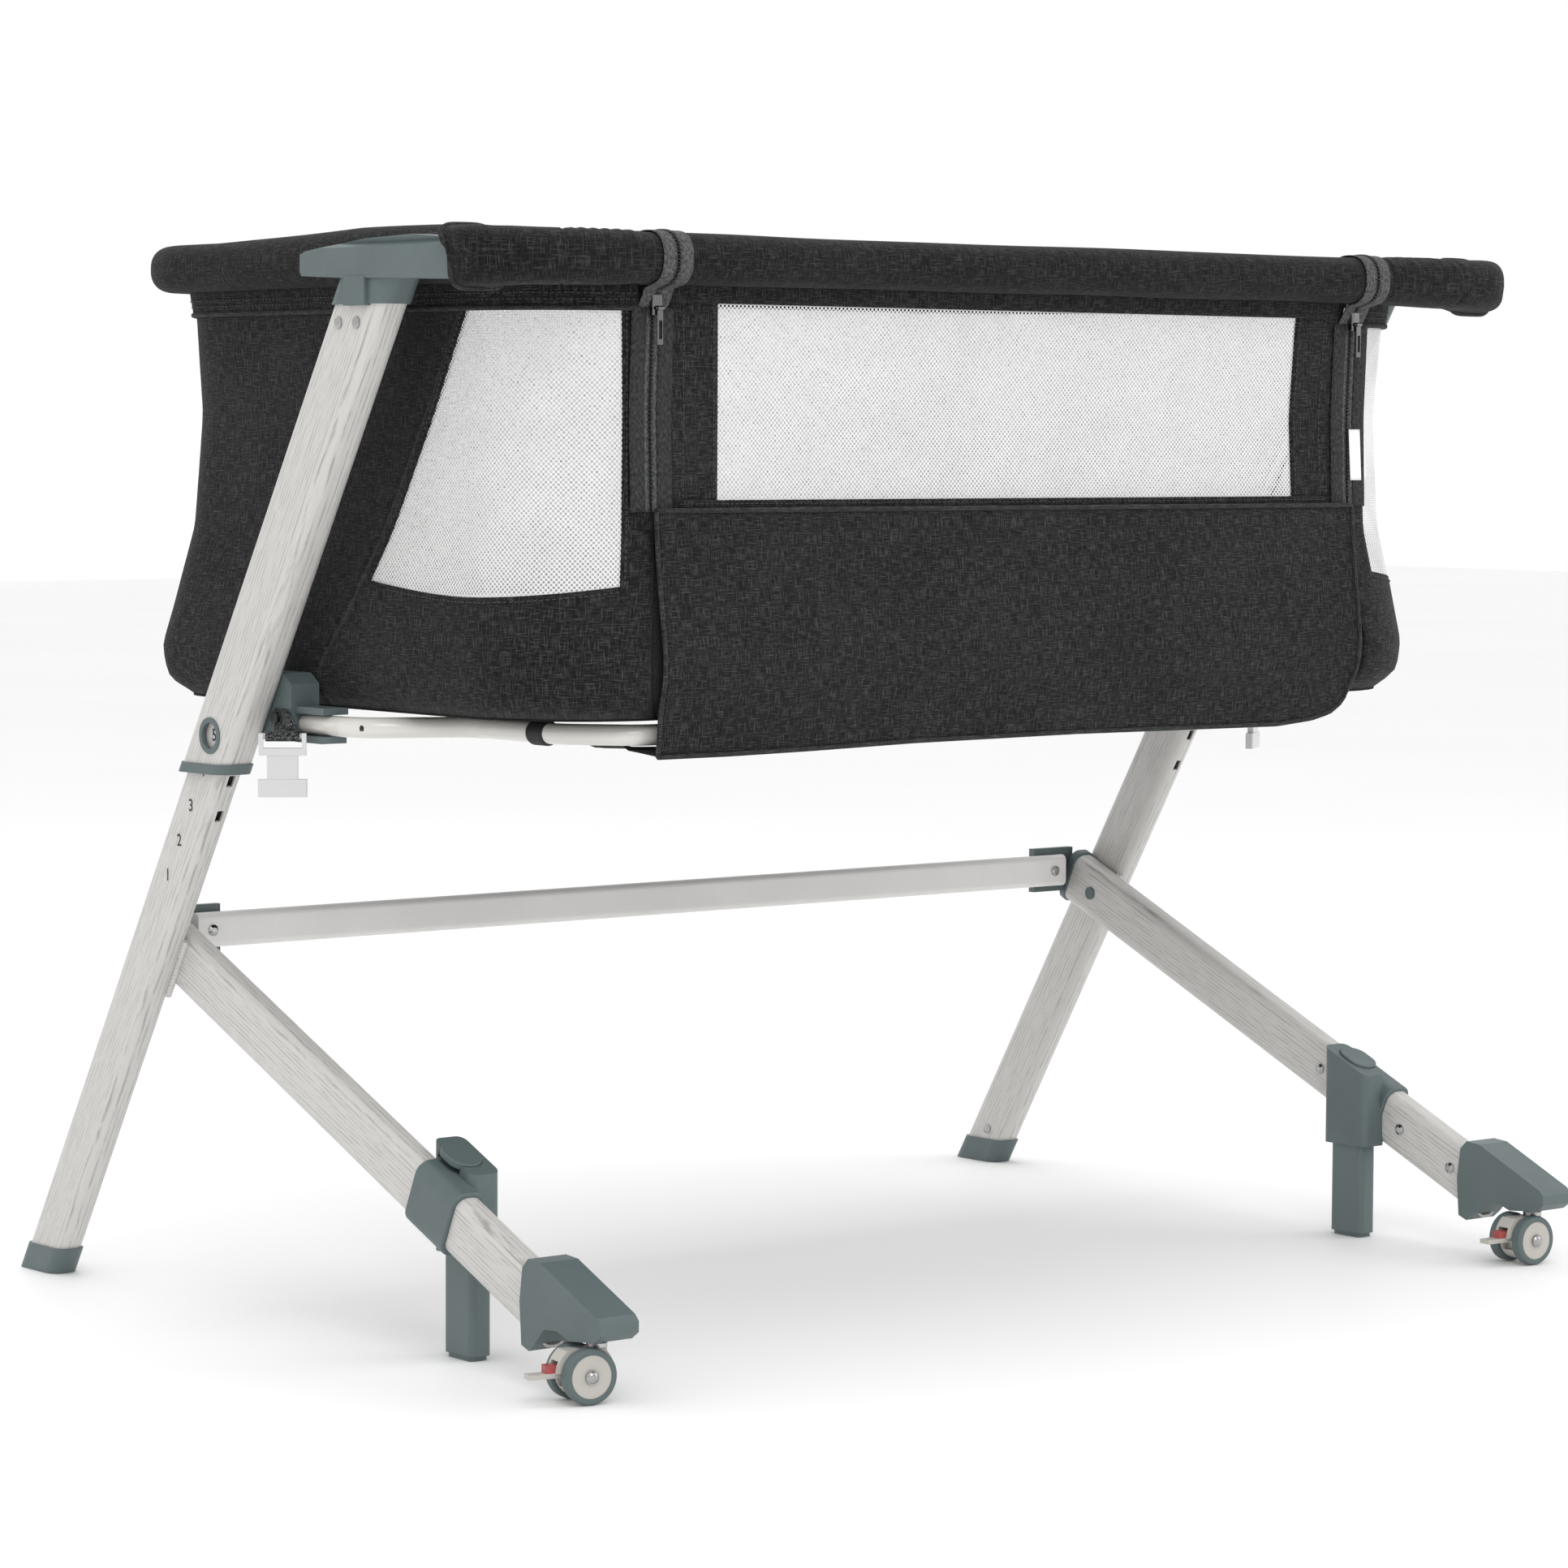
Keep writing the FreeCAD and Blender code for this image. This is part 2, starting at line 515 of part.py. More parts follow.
def caster(side, word, turn):
    """One twin-wheel caster: frame, stem, axle, two wheels, brake lever and its red block."""
    tag = word + "_"

    def stand(obj, label):
        """Put a piece built at the swivel under this side's front leg and keep it."""
        moved = doc.addObject("Part::Compound", tag + label + "_at")
        moved.Links = [obj]
        place(moved, x="%d * %s" % (side, FLEG_X), y="@stem_y", axis=(0, 0, 1), angle=turn)
        keep(moved, label)

    # the frame between the wheels: a disc, a fender crest over it and a neck round the stem
    core = disc(tag + "core", "@wheel_dia - 6", "@fork_wide")
    fender = disc(tag + "fender", "@wheel_dia + 5", "@fork_wide")
    low_half = block(tag + "low_half", "60", "60", "@wheel_dia / 2 + 5", x="-@trail", z="-3")
    crest = cut(tag + "crest", fender, low_half)
    neck = rod(tag + "neck", "13", "14.5", "0", "0", "@wheel_dia / 2 + 1.5")
    stem_hole = rod(tag + "stem_hole", "@stem_dia", "20", "0", "0", "23")
    axle_hole = disc(tag + "axle_hole", "@axle_dia + 2 * @axle_fit", "@fork_wide + 2")
    slot = block(tag + "lever_slot", "30", "9.6", "17", x="-@trail - 24", z="10.5")
    lid = block(tag + "lid", "60", "60", "20", z="34")
    frame_raw = join(tag + "frame_raw", core, crest, neck)
    frame_cut = cut(tag + "frame_cut", frame_raw, stem_hole, axle_hole, slot, lid)
    lever_pin = disc(tag + "lever_pin", "2", "@fork_wide - 1", x="-@trail - 12.5", z="18.6")
    stand(join(tag + "frame", frame_cut, lever_pin), "caster_frame_" + word)
    stem = rod(tag + "stem", "@stem_dia", "@stem_top - 23", "0", "0", "23")
    stem_ring = rod(tag + "stem_ring", "13.5", "2.6", "0", "0", "34.2")
    stand(join(tag + "stem_set", stem, stem_ring), "caster_stem_" + word)
    # axle with a domed head on the -y side and a hexagon on the other
    head_y = "(@fork_wide / 2 + @tyre_wide + 1.2)"
    pin = disc(tag + "pin", "@axle_dia", "@fork_wide + 2 * @tyre_wide + 1")
    head = disc(tag + "head", "9", "1.4", "-" + head_y)
    crown = doc.addObject("Part::Sphere", tag + "crown")
    bind(crown, Radius="5")
    place(crown, x="-@trail", y="-%s + 2.2" % head_y, z=AXLE_Z)
    crown_cut = block(tag + "crown_cut", "40", "40", "40", x="-@trail",
                      y="-%s + 20" % head_y, z="-2")
    hexagon = doc.addObject("Part::Prism", tag + "hexagon")
    hexagon.Polygon = 6
    bind(hexagon, Circumradius="4", Height="1.4")
    across(hexagon, head_y, "1.4")
    axle = join(tag + "axle", pin, head, cut(tag + "crown_cap", crown, crown_cut), hexagon)
    stand(axle, "caster_axle_" + word)
    tyres = []
    hubs = []
    for name, sign in (("near", "-"), ("far", "")):
        middle = sign + "(@fork_wide / 2 + 0.4 + @tyre_wide / 2)"
        tyre = cut(tag + name + "_tyre",
                   disc(tag + name + "_tyre_disc", "@wheel_dia", "@tyre_wide", middle),
                   disc(tag + name + "_tyre_hole", "@hub_dia", "@tyre_wide + 4", middle))
        doc.recompute()
        rounded = doc.addObject("Part::Fillet", tag + name + "_tyre_round")
        rounded.Base = tyre
        rounded.Edges = [
            (number, 1.8, 1.8)
            for number, edge in enumerate(tyre.Shape.Edges, start=1)
            if edge.Closed and abs(edge.Curve.Radius - size("wheel_dia") / 2) < 1e-3
        ]
        tyres.append(rounded)
        hubs.append(cut(tag + name + "_hub",
                        disc(tag + name + "_hub_disc", "@hub_dia", "@tyre_wide - 0.6", middle),
                        disc(tag + name + "_hub_bore", "@axle_dia", "@tyre_wide + 2", middle)))
    stand(group(tag + "tyres", *tyres), "wheel_tyres_" + word)
    stand(group(tag + "hubs", *hubs), "wheel_hubs_" + word)
    # brake lever between the wheels, turning on a pin behind the axle
    arm = block(tag + "arm", "25", "9", "3.2", x="-@trail - 25", z="17")
    boss = disc(tag + "boss", "6", "9", x="-@trail - 12.5", z="18.6")
    bore = disc(tag + "lever_bore", "2.1", "20", x="-@trail - 12.5", z="18.6")
    stand(cut(tag + "lever", join(tag + "lever_raw", arm, boss), bore), "brake_lever_" + word)
    red = bar(tag + "red", "8", "8.6", "5", "1.5", z="20.2")
    place(red, x="-@trail - 22")
    stand(red, "brake_block_" + word)


caster(-1, "left", "@swivel_left")
caster(1, "right", "@swivel_right")

# ---------------------------------------------------------------- sleeves on the long legs
SLEEVE_OUT = "(@leg_out - @leg_thick / 2 + @sleeve_thick / 2)"
SLEEVE_IN = "(@leg_out - @leg_thick / 2 - @sleeve_thick / 2)"


def sleeve_bar(name, grow, corner_change="0"):
    """A long rounded bar on the long leg's axis, as wide as the sleeve plus a growth."""
    raw = bar(name, "@sleeve_thick + (%s)" % grow, "@sleeve_deep + (%s)" % grow,
              "@leg_long + 400", "@sleeve_round + (%s)" % corner_change)
    return on_long_leg(raw)


def side_rod(name, dia, reach, y, z, start="@leg_out + 20"):
    """A rod along +X that starts outside the left leg and reaches inwards."""
    return rod(name, dia, reach, "-(%s)" % start, y, z, (0, 1, 0), 90)


sleeve_full = sleeve_bar("sleeve_full", "0")
sleeve_void = sleeve_bar("sleeve_void", "-2 * @sleeve_wall", "-@sleeve_wall")
sleeve_span = shared("sleeve_span", sleeve_full, slab("sleeve_slab", "@sleeve_low", "@sleeve_high"))
window_y = leg_y("@window_z")
window_hole = side_rod("window_hole", "@window_dia", "24", window_y, "@window_z")
HEAD_Z = "(@sleeve_high - 12)"
head_spots = [
    ("-" + SLEEVE_OUT, "%s + (%s)" % (leg_y(HEAD_Z), dy), HEAD_Z) for dy in ("10.3", "-10.3")
]
head_rivets, head_holes = rivet_row("head_rivet", head_spots, (0, 1, 0), -90)
both(cut("sleeve", sleeve_span, sleeve_void, window_hole, *head_holes), "leg_sleeve")
pair(group("sleeve_rivets_side", *head_rivets), "sleeve_rivets")

# rim bushing at the sleeve's foot and the bezel of its window
leg_passage = on_long_leg(
    bar("leg_passage", "@leg_thick + 2 * @leg_gap", "@leg_deep + 2 * @leg_gap",
        "@leg_long + 400", "@leg_round + @leg_gap"))
rim_body = shared("rim_body", sleeve_bar("rim_bar", "2 * @rim_over", "@rim_over"),
                  slab("rim_slab", "@sleeve_low - @rim_high", "@sleeve_low"))
bush_body = shared("bush_body", sleeve_bar("bush_bar", "-2 * @sleeve_wall - 0.2",
                                           "-@sleeve_wall - 0.1"),
                   slab("bush_slab", "@sleeve_low - 1", "@sleeve_low + @bush_long"))
bezel_tube = side_rod("bezel_tube", "@window_dia - 0.2", "2.3", window_y, "@window_z",
                      SLEEVE_OUT + " + 0.6")
bezel_lip = side_rod("bezel_lip", "@window_dia + 2", "0.9", window_y, "@window_z",
                     SLEEVE_OUT + " + 0.9")
bezel_hole = side_rod("bezel_hole", "@window_dia - 2 * @ring_wide", "30", window_y, "@window_z")
bezel = cut("bezel", join("bezel_raw", bezel_tube, bezel_lip), bezel_hole)
# the bush's flat side ends below the window so the printed number shows through it
bush_window = side_rod("bush_window", "@window_dia + 4", "26", window_y, "@window_z")
bush = cut("bush", join("bush_raw", rim_body, bush_body), leg_passage, bush_window)
both(group("rim_and_bezel", bush, bezel), "sleeve_rim")

# ---------------------------------------------------------------- top brackets
arm_corners = [
    (-46, 19), (-44, 22), (-44, 33), (-50, 35), (-84, 39), (-118, 42), (-172, 43.5),
    (-204, 41), (-226, 36), (-236, 13.5), (-200, 14.5), (-150, 16), (-90, 17),
]
arm_outline = [(str(y), "@sleeve_high + %s" % rise) for y, rise in arm_corners]
arm_wide = "(@arm_out - @rail_half_x - 0.2)"
arm = sketch_prism("arm", arm_outline, arm_wide, "-@arm_out")
arm_chamfer = block("arm_chamfer", "30", "400", "14", x="0", y="-140", z="0")
place(arm_chamfer, x="-@arm_out - 21", y="-340", z="@sleeve_high + 22", axis=(0, 1, 0), angle=-35)
neck_body = shared("neck_body", sleeve_bar("neck_bar", "2 * @neck_over", "@neck_over"),
                   slab("neck_slab", "@sleeve_high", "@sleeve_high + 18"))
neck_plug = shared("neck_plug", sleeve_bar("plug_bar", "-2 * @sleeve_wall - 0.2",
                                           "-@sleeve_wall - 0.1"),
                   slab("plug_slab", "@sleeve_high - @plug_long", "@sleeve_high + 1"))
neck_tab = block("neck_tab", "6", "24", "19", "-%s - 2" % SLEEVE_OUT,
                 "%s - 2" % leg_y("(@sleeve_high + 8)"), "@sleeve_high - 1")
rail_room = block("rail_room", "100", "600", "100", "-@rail_half_x + 50.1", "0",
                  "@sleeve_high - @plug_long")
sleeve_skin = cut("sleeve_skin", again("sleeve_span_copy", sleeve_span), sleeve_void)
bracket = cut("bracket", join("bracket_raw", arm, neck_body, neck_plug, neck_tab),
              arm_chamfer, rail_room, sleeve_skin, *head_holes)
both(bracket, "top_bracket")

# ---------------------------------------------------------------- lower brackets and bow tube
BOW_LEG_Y = leg_y("@bow_z")
shoe_corners = [(-55.6, -11), (-55.6, 27), (-45.6, 34), (-13.6, 34), (12.4, -11)]
shoe_outline = [("%s + %s" % (BOW_LEG_Y, dy), "@bow_z + %s" % dz) for dy, dz in shoe_corners]
shoe = sketch_prism("shoe", shoe_outline, "22.5", "-%s - 1.6" % SLEEVE_IN)
shoe_top = block("shoe_top", "20", "35", "4.6", "-@bow_side_x", "-4.5", "@bow_z + 7.4")
shoe_foot = block("shoe_foot", "20", "33", "4.6", "-@bow_side_x", "-3.5", "@bow_z - 12")
shoe_bore = rod("shoe_bore", "@bow_dia + 0.2", "60", "-@bow_side_x", "46", "@bow_z", (1, 0, 0), 90)
screw_room = side_rod("screw_room", "3.6", "47", "26", "414")
shoe_cut = cut("shoe_cut", join("shoe_raw", shoe, shoe_top, shoe_foot),
               again("sleeve_full_copy", sleeve_full), shoe_bore, screw_room)
both(shoe_cut, "lower_bracket")


def rounded_path(corners, bend):
    """A wire through points in space whose inner corners are arcs of one radius."""
    edges = []
    last = corners[0]
    for index in range(1, len(corners) - 1):
        before, here, after = corners[index - 1], corners[index], corners[index + 1]
        into = (here - before).normalize()
        away = (after - here).normalize()
        half = into.getAngle(away) / 2
        if half < 1e-4:
            continue
        reach = bend * math.tan(half)
        start = here - into * reach
        end = here + away * reach
        middle_dir = (away - into).normalize()
        middle = here + middle_dir * (bend / math.cos(half) - bend)
        edges.append(Part.LineSegment(last, start).toShape())
        edges.append(Part.Arc(start, middle, end).toShape())
        last = end
    edges.append(Part.LineSegment(last, corners[-1]).toShape())
    return Part.Wire(edges)


def tube_along(path, dia, wall):
    """A round tube swept along a wire; a wall of zero makes it solid."""
    first = path.Edges[0]
    start = first.valueAt(first.FirstParameter)
    direction = first.tangentAt(first.FirstParameter)

    def sweep(radius):
        ring = Part.Wire([Part.makeCircle(radius, start, direction)])
        return path.makePipeShell([ring], True, False)

    solid = sweep(dia / 2)
    return solid.cut(sweep(dia / 2 - wall)) if wall else solid


def feature(name, shape):
    """A sub-part whose shape is worked out in code from the sheet's sizes."""
    obj = doc.addObject("Part::Feature", name)
    obj.Shape = shape
    return obj


bow_z = size("bow_z")
side_x = size("bow_side_x")
mid_x = size("bow_mid_x")
front_y = size("bow_front_y")
half_bow = [
    V(-side_x, 42, bow_z), V(-side_x, -50, bow_z), V(-mid_x, -84, bow_z),
    V(-mid_x, -178, bow_z), V(-mid_x + 36, front_y, bow_z),
]
bow_points = half_bow + [V(-p.x, p.y, p.z) for p in reversed(half_bow)]
bow_path = rounded_path(bow_points, size("bow_bend"))
bow = tube_along(bow_path, size("bow_dia"), size("bow_wall"))
keep(feature("bow", bow), "lower_bow_tube")

# ---------------------------------------------------------------- basket: rail
rail_x = size("rail_half_x")
rail_y = size("rail_half_y")
rail_wide = size("rail_wide")
rail_high = size("rail_high")
rail_mid_z = size("rail_top") - rail_high / 2
inset = rail_wide / 2
zip_x = size("zip_x")
zip_gap = size("zip_gap")
path_x = rail_x - inset
path_y = rail_y - inset
path_r = size("rail_corner") - inset


def rail_path(end_x, z):
    """The open path of the fixed rail: round from one zip to the other past the rear."""
    corners = [
        V(-end_x, -path_y, z), V(-path_x, -path_y, z), V(-path_x, path_y, z),
        V(path_x, path_y, z), V(path_x, -path_y, z), V(end_x, -path_y, z),
    ]
    return rounded_path(corners, path_r)


def soft_section(half_wide, half_high, corner, start):
    """A rounded rectangle in the Y-Z plane round a point, as a closed wire."""
    spots = [
        V(start.x, start.y + a * half_wide, start.z + b * half_high)
        for a, b in ((1, -1), (1, 1), (-1, 1), (-1, -1))
    ]
    first = (spots[0] + spots[1]) * 0.5
    ring = [first] + spots[1:] + [spots[0], first]
    return rounded_path(ring, corner)


cover_path = rail_path(zip_x + zip_gap / 2, rail_mid_z)
cover_start = V(-zip_x - zip_gap / 2, -path_y, rail_mid_z)
section = soft_section(rail_wide / 2, rail_high / 2, 12.0, cover_start)
cover = cover_path.makePipeShell([section], True, False)
arm_x = size("arm_out")
pocket_front = rail_y + 1
pocket_points = [
    V(-arm_x - 2.5, -224, 0), V(-arm_x - 1, -231, 0), V(-arm_x + 6, 15 - pocket_front, 0),
    V(-arm_x + 24, 6 - pocket_front, 0), V(-rail_x + 22, -pocket_front, 0),
    V(-rail_x + 62, -pocket_front, 0), V(-rail_x + 62, 24 - pocket_front, 0),
    V(-rail_x + 16, -205, 0), V(-rail_x + 2, -180, 0), V(-rail_x - 0.2, -170, 0),
    V(-rail_x - 0.2, -224, 0),
]
pocket_points.append(pocket_points[0])
pocket = Part.Face(Part.makePolygon(pocket_points)).extrude(V(0, 0, rail_high + 1.5))
pocket.translate(V(0, 0, size("rail_top") - rail_high))
pocket_right = pocket.mirror(V(0, 0, 0), V(1, 0, 0))
doc.recompute()
bracket_left = bracket.Shape.copy()
bracket_right = bracket_left.mirror(V(0, 0, 0), V(1, 0, 0))
top_tube_dia = size("rail_tube")
bore = tube_along(cover_path, top_tube_dia + 0.4, 0)
cover = cover.fuse([pocket, pocket_right]).cut([bracket_left, bracket_right, bore])
keep(feature("rail_cover", cover), "rail_cover")
top_path = rail_path(zip_x + zip_gap / 2 + 1, rail_mid_z)
keep(feature("top_tube", tube_along(top_path, top_tube_dia, size("tube_wall"))), "top_rail_tube")

# ---------------------------------------------------------------- basket: fabric shell
SHELL = [(0, 30), (7, 24), (28, 17), (58, 22), (113, 29), (193, 31), (263, 28), (276, 26)]
basket_low = size("basket_low")
rail_low = size("rail_top") - rail_high
stretch = (rail_low - basket_low) / 276.0
skin = size("skin")


def outline(half_x, half_y, corner, z):
    """A rounded rectangle in a level plane, always with the same eight edges."""
    spots = [V(half_x, -half_y, z), V(half_x, half_y, z), V(-half_x, half_y, z),
             V(-half_x, -half_y, z)]
    ring = [V(0, -half_y, z)] + spots + [V(0, -half_y, z)]
    return rounded_path(ring, corner)


def basket_form(levels, offset):
    """A smooth solid through rounded rectangles; each level is a height and an inset."""
    wires = []
    for rise, pull in levels:
        inward = pull + offset
        wires.append(outline(rail_x - inward, rail_y - inward,
                             size("rail_corner") - inward * 0.6, basket_low + rise * stretch))
    return Part.makeLoft(wires, True, False)


def box(low, high):
    """A box between two opposite corners."""
    return Part.makeBox(high[0] - low[0], high[1] - low[1], high[2] - low[2], V(*low))


outer_form = basket_form(SHELL, 0)
inner_form = basket_form(SHELL, skin)
floor_z = size("floor_z")
drop_z = size("drop_z")
above = box((-600, -600, floor_z), (600, 600, 900))
below = box((-600, -600, 300), (600, 600, floor_z - skin))
shell = outer_form.cut([inner_form.common(above), inner_form.common(below)])
drop_gap = box((-zip_x, -600, drop_z), (zip_x, -150, 900))
shell = shell.cut(drop_gap)
mesh_x = zip_x + size("mesh_in")
far_x = rail_x + 66
mesh_low = drop_z - 48
mesh_high = rail_low - 11
mesh_profile = [V(-far_x, -rail_y - 42, mesh_low), V(-far_x, -35, mesh_low),
                V(-far_x, -147, mesh_high), V(-far_x, -rail_y - 42, mesh_high)]
mesh_profile.append(mesh_profile[0])
mesh_tool = Part.Face(Part.makePolygon(mesh_profile)).extrude(V(far_x - mesh_x, 0, 0))
mesh_tool_right = mesh_tool.mirror(V(0, 0, 0), V(1, 0, 0))
mesh_left = shell.common(mesh_tool)
mesh_right = shell.common(mesh_tool_right)
walls = shell.cut([mesh_tool, mesh_tool_right])
keep(feature("walls", walls), "basket_shell")
keep(feature("side_mesh", Part.makeCompound([mesh_left, mesh_right])), "side_mesh_windows")

# the board on the basket's floor and the mattress on the board
board_z = floor_z + 0.2
bed_x = "@rail_half_x - 17 - 2 * @skin - @mattress_gap"
bed_y = "@rail_half_y - 17 - 2 * @skin - @mattress_gap"
board = bar("board", "2 * (%s - 8)" % bed_x, "2 * (%s - 8)" % bed_y, "@board_thick", "60")
keep(place(board, z="@floor_z + 0.2"), "mattress_board")
mattress = bar("mattress_bar", "2 * (%s)" % bed_x, "2 * (%s)" % bed_y, "@mattress_thick", "66",
               soft_ends="6")
keep(place(mattress, z="@floor_z + @board_thick + 0.4"), "mattress")

# ---------------------------------------------------------------- basket: front flap
FLAP = [(-31, 26), (0, 23), (28, 15), (58, 20), (113, 27), (140, 28)]
flap_thick = size("flap_thick")
flap_half = size("flap_half")
flap_low = size("flap_low")
flap_form = basket_form(FLAP, -flap_thick).cut(basket_form(FLAP, 0))
flap = flap_form.common(box((-flap_half, -600, flap_low), (flap_half, -150, drop_z - 0.5)))
flap = flap.cut(outer_form)
keep(feature("flap", flap), "front_flap")

# ---------------------------------------------------------------- drop side
panel_span = box((-zip_x + 0.8, -600, drop_z + 1.5), (zip_x - 0.8, -150, rail_low - 0.1))
panel = outer_form.cut(inner_form).common(panel_span)
window_half = size("window_half")
window_box = box((-window_half, -600, size("window_low")),
                 (window_half, -150, size("window_top")))
keep(feature("panel_fabric", panel.cut(window_box)), "drop_panel_fabric")
keep(feature("panel_mesh", panel.common(window_box)), "drop_panel_mesh")
drop_bar = bar("drop_cover_bar", "@rail_high", "@rail_wide", "2 * @zip_x - @zip_gap", "12",
               soft_ends="1")
place(drop_bar, x="-@zip_x + @zip_gap / 2", y="-(@rail_half_y - @rail_wide / 2)",
      z="@rail_top - @rail_high / 2", axis=(0, 1, 0), angle=90)
drop_bore = rod("drop_bore", "@rail_tube + 0.4", "2 * @zip_x", "-@zip_x",
                "-(@rail_half_y - @rail_wide / 2)", "@rail_top - @rail_high / 2", (0, 1, 0), 90)
keep(cut("drop_cover", drop_bar, drop_bore), "drop_rail_cover")
tube_args = ("-(@rail_half_y - @rail_wide / 2)", "@rail_top - @rail_high / 2", (0, 1, 0), 90)
drop_out = rod("drop_tube_out", "@rail_tube", "2 * @zip_x - 6", "-@zip_x + 3", *tube_args)
drop_in = rod("drop_tube_in", "@rail_tube - 2 * @tube_wall", "2 * @zip_x", "-@zip_x", *tube_args)
keep(cut("drop_tube", drop_out, drop_in), "drop_rail_tube")

# ---------------------------------------------------------------- zip sliders and pulls
ZIP_SPOT = "@zip_x + 6"
slider_body = bar("slider_bar", "8", "5", "13", "1.6", z="-6.5")
bail = doc.addObject("Part::Cylinder", "slider_bail")
bind(bail, Radius="0.9", Height="7")
place(bail, x="-3.5", y="-4.4", z="-2", axis=(0, 1, 0), angle=90)
arms = [block("bail_arm%d" % n, "1", "3", "1.8", dx, "-3.2", "-2.9")
        for n, dx in enumerate(("-3", "3"))]
slider = join("slider", slider_body, bail, *arms)
place(slider, x="-(%s)" % ZIP_SPOT, y="-@rail_half_y + 23.4", z="@rail_top - 47")
both(slider, "zip_slider")
pull_plate = bar("pull_plate", "4.6", "1.4", "23", "0.6", z="-23.6")
pull_ring = doc.addObject("Part::Cylinder", "pull_ring")
bind(pull_ring, Radius="1.6", Height="4.6")
place(pull_ring, x="-2.3", axis=(0, 1, 0), angle=90)
pull_hole = doc.addObject("Part::Cylinder", "pull_hole")
bind(pull_hole, Radius="0.96", Height="12")
place(pull_hole, x="-6", axis=(0, 1, 0), angle=90)
pull_slot = block("pull_slot", "2.6", "4", "12", z="-20")
pull = cut("pull", join("pull_raw", pull_plate, pull_ring), pull_hole, pull_slot)
place(pull, x="-(%s)" % ZIP_SPOT, y="-@rail_half_y + 19", z="@rail_top - 49")
both(pull, "zip_pull")

# ---------------------------------------------------------------- tethers
SCREW_X = "(%s + 1.6)" % SLEEVE_IN
screw_head = doc.addObject("Part::Cylinder", "screw_head")
bind(screw_head, Radius="4.2", Height="2")
screw_dome = doc.addObject("Part::Cone", "screw_dome")
bind(screw_dome, Radius1="4.2", Radius2="2.4", Height="1.2")
place(screw_dome, z="2")
screw_shank = doc.addObject("Part::Cylinder", "screw_shank")
bind(screw_shank, Radius="1.6", Height="8")
place(screw_shank, z="-8")
screw = join("screw", screw_head, screw_dome, screw_shank)
place(screw, x="-%s - 3.2" % SCREW_X, y="26", z="414", axis=(0, 1, 0), angle=-90)
pair(screw, "tether_screws")

TETHER = ("-(@leg_out - @tether_in)", "1", "403")
STRAP_SEAT = 0.3
tether_x = size("tether_in") - size("leg_out")


def tether(obj):
    """Turn a piece built at the buckle's bar to face outwards and hang it there."""
    return place(obj, x=TETHER[0], y=TETHER[1], z=TETHER[2], axis=(0, 0, 1),
                 angle="@tether_turn")


loop_out = rod("loop_out", "8.6", "@strap_wide - 1", "-@strap_wide / 2 + 0.5", "0", "0",
               (0, 1, 0), 90)
loop_in = rod("loop_in", "4.6", "@strap_wide + 4", "-@strap_wide / 2 - 2", "0", "0",
              (0, 1, 0), 90)
tether_loop = tether(group("tether_loop", cut("tether_loop_raw", loop_out, loop_in)))
doc.recompute()


def tether_strap():
    """The folded strap: flat round the buckle's bar, turned on edge and pinched at the screw."""
    outer_x = -float(sheet.evalExpression(ref(SCREW_X))) - STRAP_SEAT
    turn = math.radians(size("tether_turn"))
    along = V(math.cos(turn), math.sin(turn), 0)
    behind = V(-along.y, along.x, 0)
    loop = V(tether_x, 1, 403) + behind * 3.2
    pinch = V(outer_x - size("strap_thick") / 2, 18, 412.5)
    sections = []
    for share, turned, half_wide, half_thick in ((0, 0, 12, 1.3), (0.5, 62, 10, 1.4),
                                                 (1, 90, 8.5, 1.2)):
        angle = math.radians(turned)
        middle = loop * (1 - share) + pinch * share
        flat = along * (1 - share) + V(0, -1, 0) * share * 0.02
        across_it = flat.normalize() * math.cos(angle) + V(0, 0, 1) * math.sin(angle)
        through = V(0, 0, 1) * math.cos(angle) - V(1, 0, 0) * math.sin(angle)
        ring = [
            middle + across_it * (a * half_wide) + through * (b * half_thick)
            for a, b in ((-1, -1), (1, -1), (1, 1), (-1, 1), (-1, -1))
        ]
        sections.append(Part.makePolygon(ring))
    body = Part.makeLoft(sections, True, True)
    tab = Part.makeBox(size("strap_thick"), 13, 15.5,
                       V(outer_x - size("strap_thick"), 17.5, 404.5))
    bracket_side = box((outer_x, -100, 380), (0, 100, 440))
    return body.fuse(tab).cut(bracket_side)


strap_raw = tether_strap().fuse(tether_loop.Shape)
hole_tool = Part.makeCylinder(1.8, 30, V(-size("leg_out") - 8, 26, 414), V(1, 0, 0))
bar_room = Part.makeCylinder(2.3, 40, V(0, 0, 0), V(1, 0, 0))
bar_room.translate(V(-20, 0, 0))
bar_room.Placement = FreeCAD.Placement(
    V(tether_x, 1, 403), FreeCAD.Rotation(V(0, 0, 1), size("tether_turn"))
).multiply(bar_room.Placement)
strap = strap_raw.cut([hole_tool, bar_room])
both(feature("strap", strap), "tether_strap")

buckle_bar = rod("buckle_bar", "4", "@buckle_wide - 2", "-@buckle_wide / 2 + 1", "0", "0",
                 (0, 1, 0), 90)
cheeks = [block("cheek%d" % n, "3", "@buckle_thick", "11", dx, "0", "-9")
          for n, dx in enumerate(("-@buckle_wide / 2 + 1.5", "@buckle_wide / 2 - 1.5"))]
bridge = bar("buckle_bridge", "@buckle_wide", "@buckle_thick", "5", "1", z="-13")
waist = bar("buckle_waist", "@buckle_wide - 11", "@buckle_thick - 1", "20", "1", z="-30")
tip = bar("buckle_tip", "@buckle_wide + 1", "@buckle_thick", "12", "1.5", z="-41")
both(tether(join("buckle", buckle_bar, bridge, waist, tip, *cheeks)), "tether_buckle")

